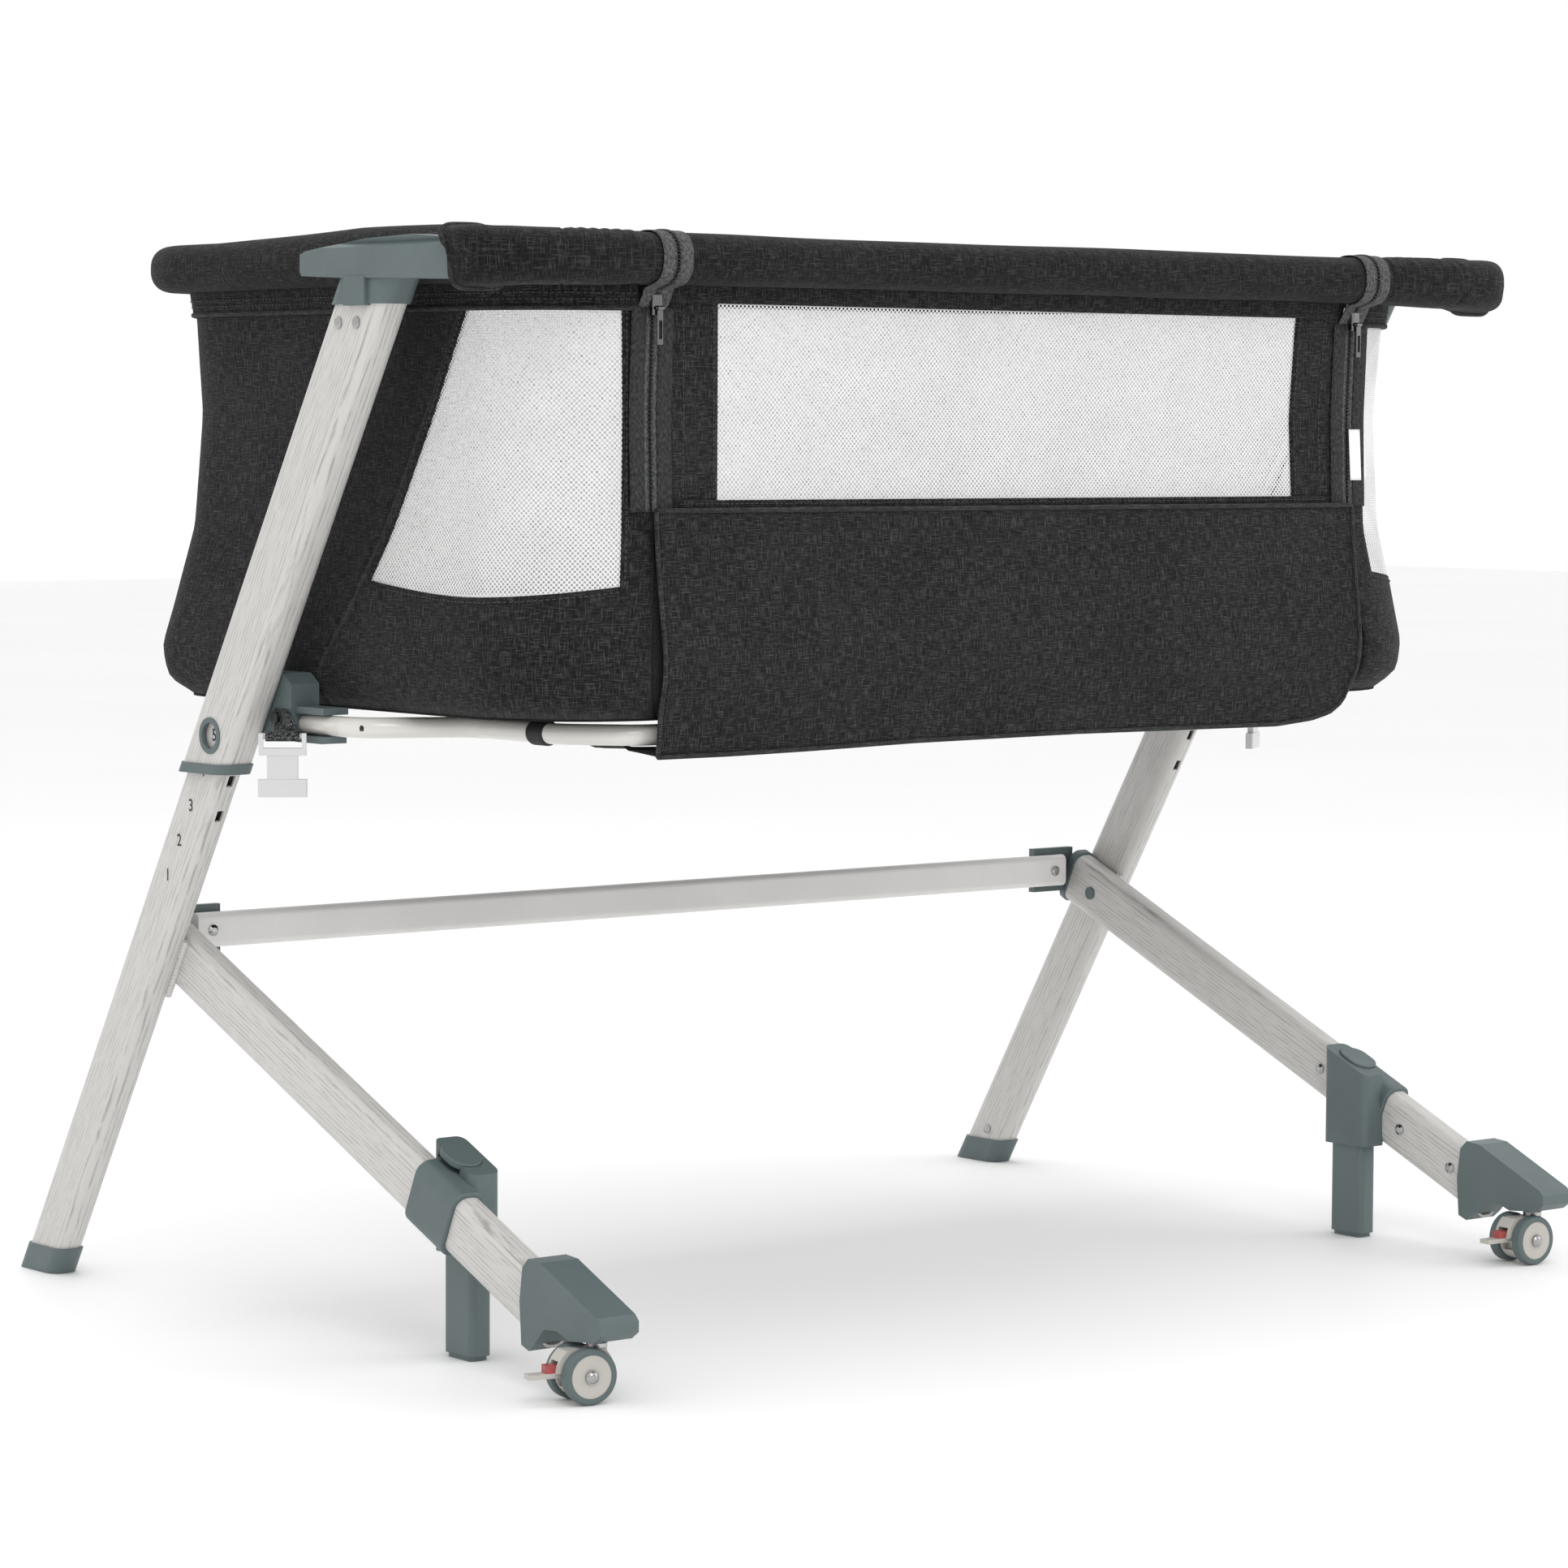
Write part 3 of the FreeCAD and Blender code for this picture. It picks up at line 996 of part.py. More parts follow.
# ---------------------------------------------------------------- check and write every node
doc.recompute()
for obj in doc.Objects:
    if "Invalid" in obj.State or "Error" in obj.State:
        raise RuntimeError("object %s did not compute: %s" % (obj.Label, obj.State))
for obj in nodes:
    shape = obj.Shape
    if shape.isNull() or not shape.isValid() or not shape.Solids:
        raise RuntimeError("sub-part %s has no valid solid" % obj.Label)
for obj in nodes:
    obj.Shape.exportStep(os.path.join("parts", obj.Label + ".step"))
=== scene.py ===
import json
import math

import bmesh
import bpy
import numpy as np
from bpy.props import FloatProperty, FloatVectorProperty, IntProperty, PointerProperty
from mathutils import Matrix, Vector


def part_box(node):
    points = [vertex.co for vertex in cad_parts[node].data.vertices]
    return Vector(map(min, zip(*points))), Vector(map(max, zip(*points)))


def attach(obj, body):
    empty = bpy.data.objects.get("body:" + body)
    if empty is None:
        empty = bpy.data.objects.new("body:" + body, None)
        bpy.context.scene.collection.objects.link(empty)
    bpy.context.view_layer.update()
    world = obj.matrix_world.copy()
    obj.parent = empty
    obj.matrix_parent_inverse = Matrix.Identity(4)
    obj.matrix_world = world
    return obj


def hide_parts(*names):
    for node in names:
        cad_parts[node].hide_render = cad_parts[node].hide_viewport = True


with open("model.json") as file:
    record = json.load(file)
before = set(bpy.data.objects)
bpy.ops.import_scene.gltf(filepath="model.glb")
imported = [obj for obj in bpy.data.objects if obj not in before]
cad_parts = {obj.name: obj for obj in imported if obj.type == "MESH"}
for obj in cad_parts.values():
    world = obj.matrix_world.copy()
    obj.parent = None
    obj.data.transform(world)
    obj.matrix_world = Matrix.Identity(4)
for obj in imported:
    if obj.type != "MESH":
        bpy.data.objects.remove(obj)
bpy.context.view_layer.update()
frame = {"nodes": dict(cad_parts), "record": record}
NODES = frame["nodes"]

bl_info = {
    "name": "Bedside Bassinet",
    "version": (1, 0, 0),
    "blender": (4, 5, 0),
    "location": "3D View > Sidebar > Bassinet",
    "description": "Cloth, padding, trims and finishes for a bassinet on a height-adjustable stand",
    "category": "Object",
}

# Heights and half sizes that the cloth hangs from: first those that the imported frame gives,
# then the seams and edges between them.
SHELL_LOW, SHELL_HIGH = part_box("basket_shell")
NET_LOW, NET_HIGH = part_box("drop_panel_mesh")
PANEL_LOW, PANEL_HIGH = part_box("drop_panel_fabric")
DROP_LOW, DROP_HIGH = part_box("drop_rail_cover")
BED_LOW, BED_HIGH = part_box("mattress")
SLIDER_LOW, SLIDER_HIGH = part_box("zip_slider_right")
FLAP_LOW, FLAP_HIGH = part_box("front_flap")
BOW_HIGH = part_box("lower_bow_tube")[1]

RAIL_Y = -DROP_LOW.y
BOW_MID_X = BOW_HIGH.x - 0.078
RAIL_X = SHELL_HIGH.x + 0.017
RAIL_MID_Z = (DROP_LOW.z + DROP_HIGH.z) / 2
DROP_MID_Y = (DROP_LOW.y + DROP_HIGH.y) / 2
WALL_FOOT = SHELL_LOW.z
WALL_HEAD = SHELL_HIGH.z
DROP_LINE = FLAP_HIGH.z
ZIP_X = (SLIDER_LOW.x + SLIDER_HIGH.x) / 2
ZIP_EDGE = 0.320
WINDOW_FRONT = 0.345
WINDOW_FOOT = 0.508
WINDOW_HEAD = NET_HIGH.z - 0.003
WINDOW_SAG = 0.008
WALL_SEAM = 0.4215
BAND_FOOT = 0.6885
RAIL_SEAM = 0.400
FLAP_HALF = 0.3205
NUMBER_X = 0.46215
LINING_THICK = 0.0008
ZIP_WALL_STEPS = 46
SIDES = (("left", -1), ("right", 1))

# How far the cloth stands in from the rail's outer face at each height over the basket's foot.
WALL_RISE = np.array([-0.006, 0, 0.007, 0.028, 0.058, 0.113, 0.193, 0.263, 0.276])
WALL_INSET = np.array([0.034, 0.0225, 0.0185, 0.0160, 0.0205, 0.0285, 0.031, 0.028, 0.026])
WALL_CORNER = np.array([0.052, 0.048, 0.046, 0.045, 0.052, 0.061, 0.066, 0.066, 0.066])
FLAP_RISE = np.array([-0.035, -0.031, 0, 0.028, 0.058, 0.113, 0.140])
FLAP_INSET = np.array([0.023, 0.022, 0.019, 0.011, 0.016, 0.023, 0.0245])


class BassinetSizes(bpy.types.PropertyGroup):
    """Sizes that a user may change before the pieces are built."""

    rail_wide: FloatProperty(
        name="Rail width", description="Padded rail across its section",
        default=DROP_HIGH.y - DROP_LOW.y, min=0.02, max=0.06, unit="LENGTH")
    rail_high: FloatProperty(
        name="Rail height", description="Padded rail from underside to top",
        default=DROP_HIGH.z - DROP_LOW.z, min=0.02, max=0.06, unit="LENGTH")
    cloth_thick: FloatProperty(
        name="Cloth thickness", description="Outer cloth with its backing",
        default=0.0014, min=0.0003, max=0.004, unit="LENGTH")
    lining_gap: FloatProperty(
        name="Lining gap", description="From the outer cloth's face to the lining",
        default=0.0034, min=0.001, max=0.008, unit="LENGTH")
    stitch_pitch: FloatProperty(
        name="Stitch pitch", description="From one stitch to the next",
        default=0.0042, min=0.002, max=0.01, unit="LENGTH")
    number_high: FloatProperty(
        name="Number height", description="Height numbers on the long legs",
        default=0.0085, min=0.004, max=0.02, unit="LENGTH")
    ripple: FloatProperty(
        name="Ripple", description="How uneven the hanging cloth is",
        default=0.0016, min=0.0, max=0.005, unit="LENGTH")
    seed: IntProperty(
        name="Seed", description="Picks the pattern of creases", default=7, min=0, max=999)


class BassinetColours(bpy.types.PropertyGroup):
    """Colours, as linear values."""

    charcoal: FloatVectorProperty(
        name="Charcoal", description="Ground colour of the linen",
        default=(0.0040, 0.0043, 0.0040), subtype="COLOR", min=0, max=1)
    fleck: FloatVectorProperty(
        name="Fleck", description="Lighter threads in the linen",
        default=(0.080, 0.084, 0.080), subtype="COLOR", min=0, max=1)
    film: FloatVectorProperty(
        name="Film", description="Wood-grain film on the tubes",
        default=(0.575, 0.562, 0.542), subtype="COLOR", min=0, max=1)
    grain: FloatVectorProperty(
        name="Grain", description="Grain lines of the film",
        default=(0.24, 0.23, 0.215), subtype="COLOR", min=0, max=1)
    slate: FloatVectorProperty(
        name="Slate", description="Moulded brackets and caps",
        default=(0.103, 0.136, 0.139), subtype="COLOR", min=0, max=1)
    net: FloatVectorProperty(
        name="Net", description="Threads of the windows",
        default=(0.86, 0.86, 0.86), subtype="COLOR", min=0, max=1)


# ---------------------------------------------------------------- shapes

def rounded_ring(s, half_x, half_y, corner, base):
    """Points and outward normals of a rounded rectangle.

    s is the distance round the base ring (half_x, half_y, corner), from the middle of the
    front, counter-clockwise from above. Straight by straight and arc by arc it is carried
    over to the wanted ring, so the same s is the same place at every height: on a straight
    the corner centre slides, on an arc the angle turns.
    """
    base_x, base_y, base_r = base
    arc = base_r * math.pi / 2
    lengths = np.array([
        base_x - base_r, arc, 2 * (base_y - base_r), arc, 2 * (base_x - base_r), arc,
        2 * (base_y - base_r), arc, base_x - base_r])
    marks = np.concatenate([[0], np.cumsum(lengths)])
    s = np.mod(s, marks[-1])
    part = np.clip(np.searchsorted(marks, s, side="right") - 1, 0, 8)
    share = (s - marks[part]) / lengths[part]
    from_x = np.array([0, 1, 1, 1, 1, -1, -1, -1, -1])[part]
    to_x = np.array([1, 1, 1, 1, -1, -1, -1, -1, 0])[part]
    from_y = np.array([-1, -1, -1, 1, 1, 1, 1, -1, -1])[part]
    to_y = np.array([-1, -1, 1, 1, 1, 1, -1, -1, -1])[part]
    from_turn = np.array([-90, -90, 0, 0, 90, 90, 180, 180, 270])[part]
    to_turn = np.array([-90, 0, 0, 90, 90, 180, 180, 270, 270])[part]
    turn = np.radians(from_turn + (to_turn - from_turn) * share)
    normal = np.stack([np.cos(turn), np.sin(turn), np.zeros_like(turn)], -1)
    x = (from_x + (to_x - from_x) * share) * (half_x - corner) + corner * normal[..., 0]
    y = (from_y + (to_y - from_y) * share) * (half_y - corner) + corner * normal[..., 1]
    return x, y, normal


WALL_BASE = (RAIL_X - 0.026, RAIL_Y - 0.026, 0.0844)
ARC_END = WALL_BASE[0] - WALL_BASE[2] + WALL_BASE[2] * math.pi / 2
WALL_ROUND = (
    4 * (WALL_BASE[0] + WALL_BASE[1] - 2 * WALL_BASE[2]) + 2 * math.pi * WALL_BASE[2])
RAIL_BASE = (RAIL_X - 0.018, RAIL_Y - 0.018, 0.082)
RAIL_ROUND = (
    4 * (RAIL_BASE[0] + RAIL_BASE[1] - 2 * RAIL_BASE[2]) + 2 * math.pi * RAIL_BASE[2])


def side_station(y):
    """Distance round the wall's ring at a depth y of the right side's straight."""
    return ARC_END + y + WALL_BASE[1] - WALL_BASE[2]


def ripple(u, v, seed, short=0.03, long=0.2, count=7):
    """Smooth unevenness, about -1 to 1: the mean of sine waves whose directions, lengths
    and phases come from a fixed seed."""
    rng = np.random.default_rng(seed)
    total = np.zeros(np.broadcast(u, v).shape)
    for _ in range(count):
        angle, phase = rng.uniform(0, math.pi), rng.uniform(0, 2 * math.pi)
        length = rng.uniform(short, long)
        total += np.sin(2 * math.pi * (u * math.cos(angle) + v * math.sin(angle)) / length + phase)
    return total * 1.6 / count


def wall_surface(s, z, outward=0.0, rise=WALL_RISE, inset=WALL_INSET):
    """The basket's wall: at each height the ring stands in by the cut's inset there, with
    rear corners that tighten towards the foot, and moves outwards along its own normal."""
    height = z - WALL_FOOT
    pull = sum(np.interp(height + d, rise, inset) for d in (-0.006, -0.003, 0, 0.003, 0.006)) / 5
    back = np.clip((np.minimum(s, WALL_ROUND - s) - ARC_END) / 0.295, 0, 1)
    corner = WALL_BASE[2] + (np.interp(height, rise, WALL_CORNER) - WALL_BASE[2]) * back
    x, y, normal = rounded_ring(s, RAIL_X - pull, RAIL_Y - pull, corner, WALL_BASE)
    points = np.stack([x, y, np.broadcast_to(z, x.shape)], -1)
    return points + normal * np.asarray(outward)[..., None]


def steps(marks, counts):
    """Values that run through the marks with a given number of even steps between them."""
    runs = [np.linspace(a, b, n, endpoint=False) for a, b, n in zip(marks, marks[1:], counts)]
    return np.concatenate(runs + [[marks[-1]]])


def smooth_path(corners, count):
    """A smooth curve through corners: Catmull-Rom cubics, sampled evenly by parameter."""
    knots = np.asarray(corners, float)
    padded = np.vstack([2 * knots[0] - knots[1], knots, 2 * knots[-1] - knots[-2]])
    t = np.linspace(0, len(knots) - 1, count)
    part = np.minimum(t.astype(int), len(knots) - 2)
    f = (t - part)[:, None]
    a, b, c, d = (padded[part + k] for k in range(4))
    return 0.5 * (2 * b + (c - a) * f + (2 * a - 5 * b + 4 * c - d) * f ** 2
                  + (3 * b - a - 3 * c + d) * f ** 3)


def even_path(points, pitch):
    """The same line with points one pitch apart, measured along it."""
    gaps = np.linalg.norm(np.diff(points, axis=0), axis=1)
    along = np.concatenate([[0], np.cumsum(gaps)])
    places = np.arange(pitch / 2, along[-1], pitch)
    return np.stack([np.interp(places, along, points[:, k]) for k in range(3)], -1)


def unit(vectors):
    """Vectors scaled to length one."""
    return vectors / np.maximum(np.linalg.norm(vectors, axis=-1, keepdims=True), 1e-12)


# ---------------------------------------------------------------- meshes

def finish_piece(mesh, name, material, body, smooth=True):
    """Wrap a mesh in an object at the origin, with one material, riding on one body."""
    mesh.materials.append(material)
    mesh.polygons.foreach_set("use_smooth", np.full(len(mesh.polygons), smooth))
    mesh.update()
    piece = bpy.data.objects.new(name, mesh)
    bpy.context.scene.collection.objects.link(piece)
    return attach(piece, body)


def grid_piece(name, points, uv, material, body, keep=None, closed=False, flip=False, caps=False):
    """A mesh on a grid of rows by columns. The step along a row crossed with the step to the
    next row points outwards, or inwards with flip. closed joins the last row to the first;
    caps fill the two ends; keep leaves quads out."""
    rows, columns = points.shape[:2]
    index = np.arange(rows * columns).reshape(rows, columns)
    if closed:
        index = np.vstack([index, index[:1]])
    corners = [(slice(None, -1), slice(None, -1)), (slice(None, -1), slice(1, None)),
               (slice(1, None), slice(1, None)), (slice(1, None), slice(None, -1))]
    if flip:
        corners = corners[::-1]
    quads = np.stack([index[c] for c in corners], -1)
    marks = np.stack([uv[c] for c in corners], -2)
    if keep is not None:
        quads, marks = quads[keep], marks[keep]
    faces = quads.reshape(-1, 4).tolist()
    marks = marks.reshape(-1, 2)
    if caps:
        first, last = index[:rows, 0].tolist(), index[:rows, -1].tolist()
        faces += [first[::-1], last] if flip else [first, last[::-1]]
        marks = np.vstack([marks, np.tile(uv[0, 0], (2 * rows, 1))])
    mesh = bpy.data.meshes.new(name)
    mesh.from_pydata(points.reshape(-1, 3).tolist(), [], faces)
    layer = mesh.uv_layers.new(name="Cloth")
    layer.data.foreach_set("uv", marks.astype(np.float32).ravel())
    if keep is not None:
        clean = bmesh.new()
        clean.from_mesh(mesh)
        bmesh.ops.delete(
            clean, geom=[v for v in clean.verts if not v.link_faces], context="VERTS")
        clean.to_mesh(mesh)
        clean.free()
    return finish_piece(mesh, name, material, body)


def thicken(piece, thickness):
    """Give a sheet its thickness, on the side away from its normals."""
    wall = piece.modifiers.new("Thickness", "SOLIDIFY")
    wall.thickness = thickness
    wall.offset = -1
    wall.use_even_offset = False


def tube_piece(name, path, radius, material, body, sides=8, closed=False):
    """A round tube: at each point of the path a circle in the plane across the tangent,
    its first axis level and its second at a right angle to it."""
    if closed:
        tangent = unit(np.roll(path, -1, 0) - np.roll(path, 1, 0))
    else:
        tangent = unit(np.gradient(path, axis=0))
    upright = np.where(np.abs(tangent[:, 2:]) > 0.9, [[0.0, 1.0, 0.0]], [[0.0, 0.0, 1.0]])
    level = unit(np.cross(tangent, upright))
    other = np.cross(level, tangent)
    turn = np.linspace(0, 2 * math.pi, sides, endpoint=False)[:, None, None]
    size = np.broadcast_to(radius, len(path))[None, :, None]
    points = path + size * (np.cos(turn) * level + np.sin(turn) * other)
    gaps = np.concatenate([[0], np.cumsum(np.linalg.norm(np.diff(path, axis=0), axis=1))])
    if closed:
        points = np.concatenate([points, points[:, :1]], 1)
        gaps = np.append(gaps, gaps[-1] + np.linalg.norm(path[0] - path[-1]))
    around = np.linspace(0, 2 * math.pi, sides + 1) * float(np.mean(size))
    piece = grid_piece(name, points, pair(gaps[None, :], around[:, None]), material, body,
                       closed=True, caps=not closed)
    if closed:
        weld(piece.data)
    return piece


def weld(mesh, distance=1e-5, outward=False):
    """Merge points that lie on each other, and turn the faces outwards if asked."""
    clean = bmesh.new()
    clean.from_mesh(mesh)
    bmesh.ops.remove_doubles(clean, verts=clean.verts, dist=distance)
    if outward:
        bmesh.ops.recalc_face_normals(clean, faces=clean.faces)
    clean.to_mesh(mesh)
    clean.free()
    mesh.update()


def spindles(centres, along, normal, half_long, half_wide, half_high):
    """Points and triangles of small five-sided spindles: two poles on the long axis and two
    rings near them, one spindle at each centre."""
    side = unit(np.cross(along, normal))
    turn = np.linspace(0, 2 * math.pi, 5, endpoint=False)
    ring = np.stack([np.zeros(5), np.cos(turn), np.sin(turn)], -1)
    shape = np.vstack([[[-1, 0, 0]], ring + [-0.6, 0, 0], ring + [0.6, 0, 0], [[1, 0, 0]]])
    shape = shape * [half_long, half_wide, half_high]
    points = (centres[:, None] + shape[None, :, :1] * along[:, None]
              + shape[None, :, 1:2] * side[:, None] + shape[None, :, 2:] * normal[:, None])
    k, n = np.arange(5), (np.arange(5) + 1) % 5
    pole = np.zeros(5, int)
    faces = np.concatenate([
        np.stack([pole, 1 + n, 1 + k], -1), np.stack([1 + k, 1 + n, 6 + n], -1),
        np.stack([1 + k, 6 + n, 6 + k], -1), np.stack([pole + 11, 6 + k, 6 + n], -1)])
    faces = faces[None] + 12 * np.arange(len(centres))[:, None, None]
    return points.reshape(-1, 3), faces.reshape(-1, 3)


def spindle_piece(name, runs, material, body):
    """One mesh of many spindles. Each run is (centres, along, normal, sizes)."""
    points, faces, start = [], [], 0
    for centres, along, normal, sizes in runs:
        made, corners = spindles(centres, unit(along), unit(normal), *sizes)
        points.append(made)
        faces.append(corners + start)
        start += len(made)
    mesh = bpy.data.meshes.new(name)
    mesh.from_pydata(np.vstack(points).tolist(), [], np.vstack(faces).tolist())
    weld(mesh, 0.0, outward=True)
    return finish_piece(mesh, name, material, body)


def stitch_run(path, pitch):
    """A row of stitches along a line in space, with normals that point away from the
    basket's upright axis."""
    centres = even_path(path, pitch)
    along = np.gradient(centres, axis=0)
    out = centres * [1.0, 1.0, 0.0]
    box = np.array([RAIL_X - 0.1, RAIL_Y - 0.1, 1.0])
    out = out - np.clip(out, -box, box)
    normal = unit(np.cross(np.cross(unit(along), unit(out)), unit(along)))
    return centres, along, normal, (pitch * 0.36, 0.00042, 0.00042)


def on_side(sign, points):
    """Points drawn for the left side, carried over to the side of a sign."""
    return points * [-sign, 1.0, 1.0]


def pair(u, v):
    """Two grids, or a row and a column, as one grid of flat coordinates."""
    return np.stack(np.broadcast_arrays(u, v), -1)


# ---------------------------------------------------------------- finishes

def add(tree, kind, inputs=None, **settings):
    """Add a node, set it up, and fill each input with a value or a link."""
    made = tree.nodes.new(kind)
    for key, value in settings.items():
        setattr(made, key, value)
    for key, value in (inputs or {}).items():
        if isinstance(value, bpy.types.NodeSocket):
            tree.links.new(value, made.inputs[key])
        else:
            made.inputs[key].default_value = value
    return made


def calc(tree, operation, *values, clamp=False):
    """One Math node's result."""
    made = add(tree, "ShaderNodeMath", dict(enumerate(values)), operation=operation)
    made.use_clamp = clamp
    return made.outputs[0]


def spread(tree, value, low, high, to_low=0.0, to_high=1.0):
    """A value carried from one range to another, held at the ends."""
    return add(tree, "ShaderNodeMapRange", {
        "Value": value, "From Min": low, "From Max": high, "To Min": to_low, "To Max": to_high,
    }).outputs["Result"]


def mix(tree, share, first, second):
    """Two colours mixed by a share."""
    made = tree.nodes.new("ShaderNodeMix")
    made.data_type = "RGBA"
    for place, value in ((0, share), (6, first), (7, second)):
        socket = made.inputs[place]
        if isinstance(value, bpy.types.NodeSocket):
            tree.links.new(value, socket)
        else:
            socket.default_value = value
    return made.outputs[2]


def noise(tree, vector, scale, detail=2.0, roughness=0.5):
    """Noise between 0 and 1."""
    return add(tree, "ShaderNodeTexNoise", {
        "Vector": vector, "Scale": scale, "Detail": detail, "Roughness": roughness,
    }).outputs["Fac"]


def scaled(tree, vector, factors, turn=(0, 0, 0)):
    """A vector scaled, then turned."""
    return add(tree, "ShaderNodeMapping", {
        "Vector": vector, "Scale": factors, "Rotation": turn}).outputs["Vector"]


def effect(name, inputs, outputs):
    """A new node group with its sockets; gives the tree, its input and its output nodes."""
    tree = bpy.data.node_groups.new(name, "ShaderNodeTree")
    for label, kind, value in inputs:
        socket = tree.interface.new_socket(label, in_out="INPUT", socket_type=kind)
        if value is not None:
            socket.default_value = value
    for label, kind in outputs:
        tree.interface.new_socket(label, in_out="OUTPUT", socket_type=kind)
    return tree, tree.nodes.new("NodeGroupInput"), tree.nodes.new("NodeGroupOutput")


def colour4(colour):
    """A colour with full opacity."""
    return (*colour[:3], 1.0)


def linen_effect():
    """Plain weave in metres. Warp and weft threads are noise stretched along each thread;
    the thin light slubs are its highest parts, and the height is two crossed sine waves."""
    tree, given, result = effect("Linen weave", [
        ("Vector", "NodeSocketVector", None), ("Ground", "NodeSocketColor", None),
        ("Thread", "NodeSocketColor", None), ("Flecks", "NodeSocketFloat", 0.5),
        ("Pitch", "NodeSocketFloat", 0.0008)],
        [("Colour", "NodeSocketColor"), ("Height", "NodeSocketFloat"),
         ("Roughness", "NodeSocketFloat")])
    vector = given.outputs["Vector"]
    warp = noise(tree, scaled(tree, vector, (1150, 105, 1)), 1.0, 3.0, 0.65)
    weft = noise(tree, scaled(tree, vector, (105, 1150, 1)), 1.0, 3.0, 0.65)
    cloud = noise(tree, vector, 14.0, 3.0)
    light = calc(tree, "MAXIMUM", spread(tree, warp, 0.50, 0.70), spread(tree, weft, 0.50, 0.70))
    dark = calc(tree, "MINIMUM", spread(tree, warp, 0.32, 0.52), spread(tree, weft, 0.32, 0.52))
    share = calc(tree, "MULTIPLY", light, given.outputs["Flecks"])
    share = calc(tree, "ADD", share, spread(tree, cloud, 0.3, 0.7, -0.03, 0.05), clamp=True)
    body = mix(tree, share, given.outputs["Ground"], given.outputs["Thread"])
    colour = mix(tree, spread(tree, dark, 0.0, 0.7, 0.60, 0.0), body, (0.004, 0.004, 0.004, 1))
    parts = add(tree, "ShaderNodeSeparateXYZ", {0: vector})
    rate = calc(tree, "DIVIDE", 2 * math.pi, given.outputs["Pitch"])
    u = calc(tree, "SINE", calc(tree, "MULTIPLY", parts.outputs[0], rate))
    v = calc(tree, "SINE", calc(tree, "MULTIPLY", parts.outputs[1], rate))
    weave = calc(tree, "MULTIPLY", u, v)
    height = calc(tree, "ADD", calc(tree, "MULTIPLY", weave, 0.25), light)
    tree.links.new(colour, result.inputs["Colour"])
    tree.links.new(height, result.inputs["Height"])
    tree.links.new(spread(tree, light, 0, 1, 0.92, 0.74), result.inputs["Roughness"])
    return tree


def film_effect():
    """Wood-grain film in metres along local Z. Thin lines are where a slow drift across the
    tube, bent by stretched noise, passes whole numbers of its pitch."""
    tree, given, result = effect("Grain film", [
        ("Vector", "NodeSocketVector", None), ("Ground", "NodeSocketColor", None),
        ("Line", "NodeSocketColor", None), ("Depth", "NodeSocketFloat", 0.6),
        ("Pitch", "NodeSocketFloat", 0.0029)],
        [("Colour", "NodeSocketColor"), ("Height", "NodeSocketFloat")])
    vector = given.outputs["Vector"]
    parts = add(tree, "ShaderNodeSeparateXYZ", {0: vector})
    across = calc(tree, "ADD", parts.outputs[1], calc(tree, "MULTIPLY", parts.outputs[0], 0.8))
    drift = noise(tree, scaled(tree, vector, (26, 26, 3.2)), 1.0, 2.0)
    waver = noise(tree, scaled(tree, vector, (120, 120, 16)), 1.0, 3.0)
    bent = calc(tree, "ADD", calc(tree, "DIVIDE", across, given.outputs["Pitch"]),
                calc(tree, "MULTIPLY", drift, 1.3))
    bent = calc(tree, "ADD", bent, calc(tree, "MULTIPLY", waver, 0.9))
    fold = calc(tree, "PINGPONG", bent, 0.5)
    line = spread(tree, fold, 0.0, 0.20, 1.0, 0.0)
    breaks = noise(tree, scaled(tree, vector, (420, 420, 48)), 1.0, 3.0, 0.65)
    line = calc(tree, "MULTIPLY", line, spread(tree, breaks, 0.40, 0.58))
    pores = spread(tree, noise(tree, scaled(tree, vector, (900, 900, 40)), 1.0, 2.0), 0.56, 0.72)
    mark = calc(tree, "MAXIMUM", line, calc(tree, "MULTIPLY", pores, 0.35))
    mark = calc(tree, "MULTIPLY", mark, given.outputs["Depth"], clamp=True)
    tree.links.new(mix(tree, mark, given.outputs["Ground"], given.outputs["Line"]),
                   result.inputs["Colour"])
    tree.links.new(calc(tree, "SUBTRACT", 1.0, mark), result.inputs["Height"])
    return tree


def moulding_effect():
    """Moulded or painted surface: fine grain for the height, and slow clouds that shift the
    colour and the gloss a little."""
    tree, given, result = effect("Moulded skin", [
        ("Vector", "NodeSocketVector", None), ("Ground", "NodeSocketColor", None),
        ("Shift", "NodeSocketFloat", 0.08), ("Grain size", "NodeSocketFloat", 0.0006),
        ("Gloss low", "NodeSocketFloat", 0.4), ("Gloss high", "NodeSocketFloat", 0.5)],
        [("Colour", "NodeSocketColor"), ("Height", "NodeSocketFloat"),
         ("Roughness", "NodeSocketFloat")])
    vector = given.outputs["Vector"]
    cloud = noise(tree, vector, 22.0, 4.0, 0.6)
    grain = noise(tree, vector, calc(tree, "DIVIDE", 1.0, given.outputs["Grain size"]), 2.0)
    shade = calc(tree, "MULTIPLY", spread(tree, cloud, 0.3, 0.7), given.outputs["Shift"])
    speck = calc(tree, "MULTIPLY", spread(tree, grain, 0.35, 0.65), given.outputs["Shift"])
    share = calc(tree, "ADD", shade, calc(tree, "MULTIPLY", speck, 0.5), clamp=True)
    tree.links.new(mix(tree, share, given.outputs["Ground"], (0.0, 0.0, 0.0, 1.0)),
                   result.inputs["Colour"])
    tree.links.new(grain, result.inputs["Height"])
    made = add(tree, "ShaderNodeMapRange", {
        "Value": cloud, "From Min": 0.3, "From Max": 0.7,
        "To Min": given.outputs["Gloss low"], "To Max": given.outputs["Gloss high"]})
    tree.links.new(made.outputs["Result"], result.inputs["Roughness"])
    return tree


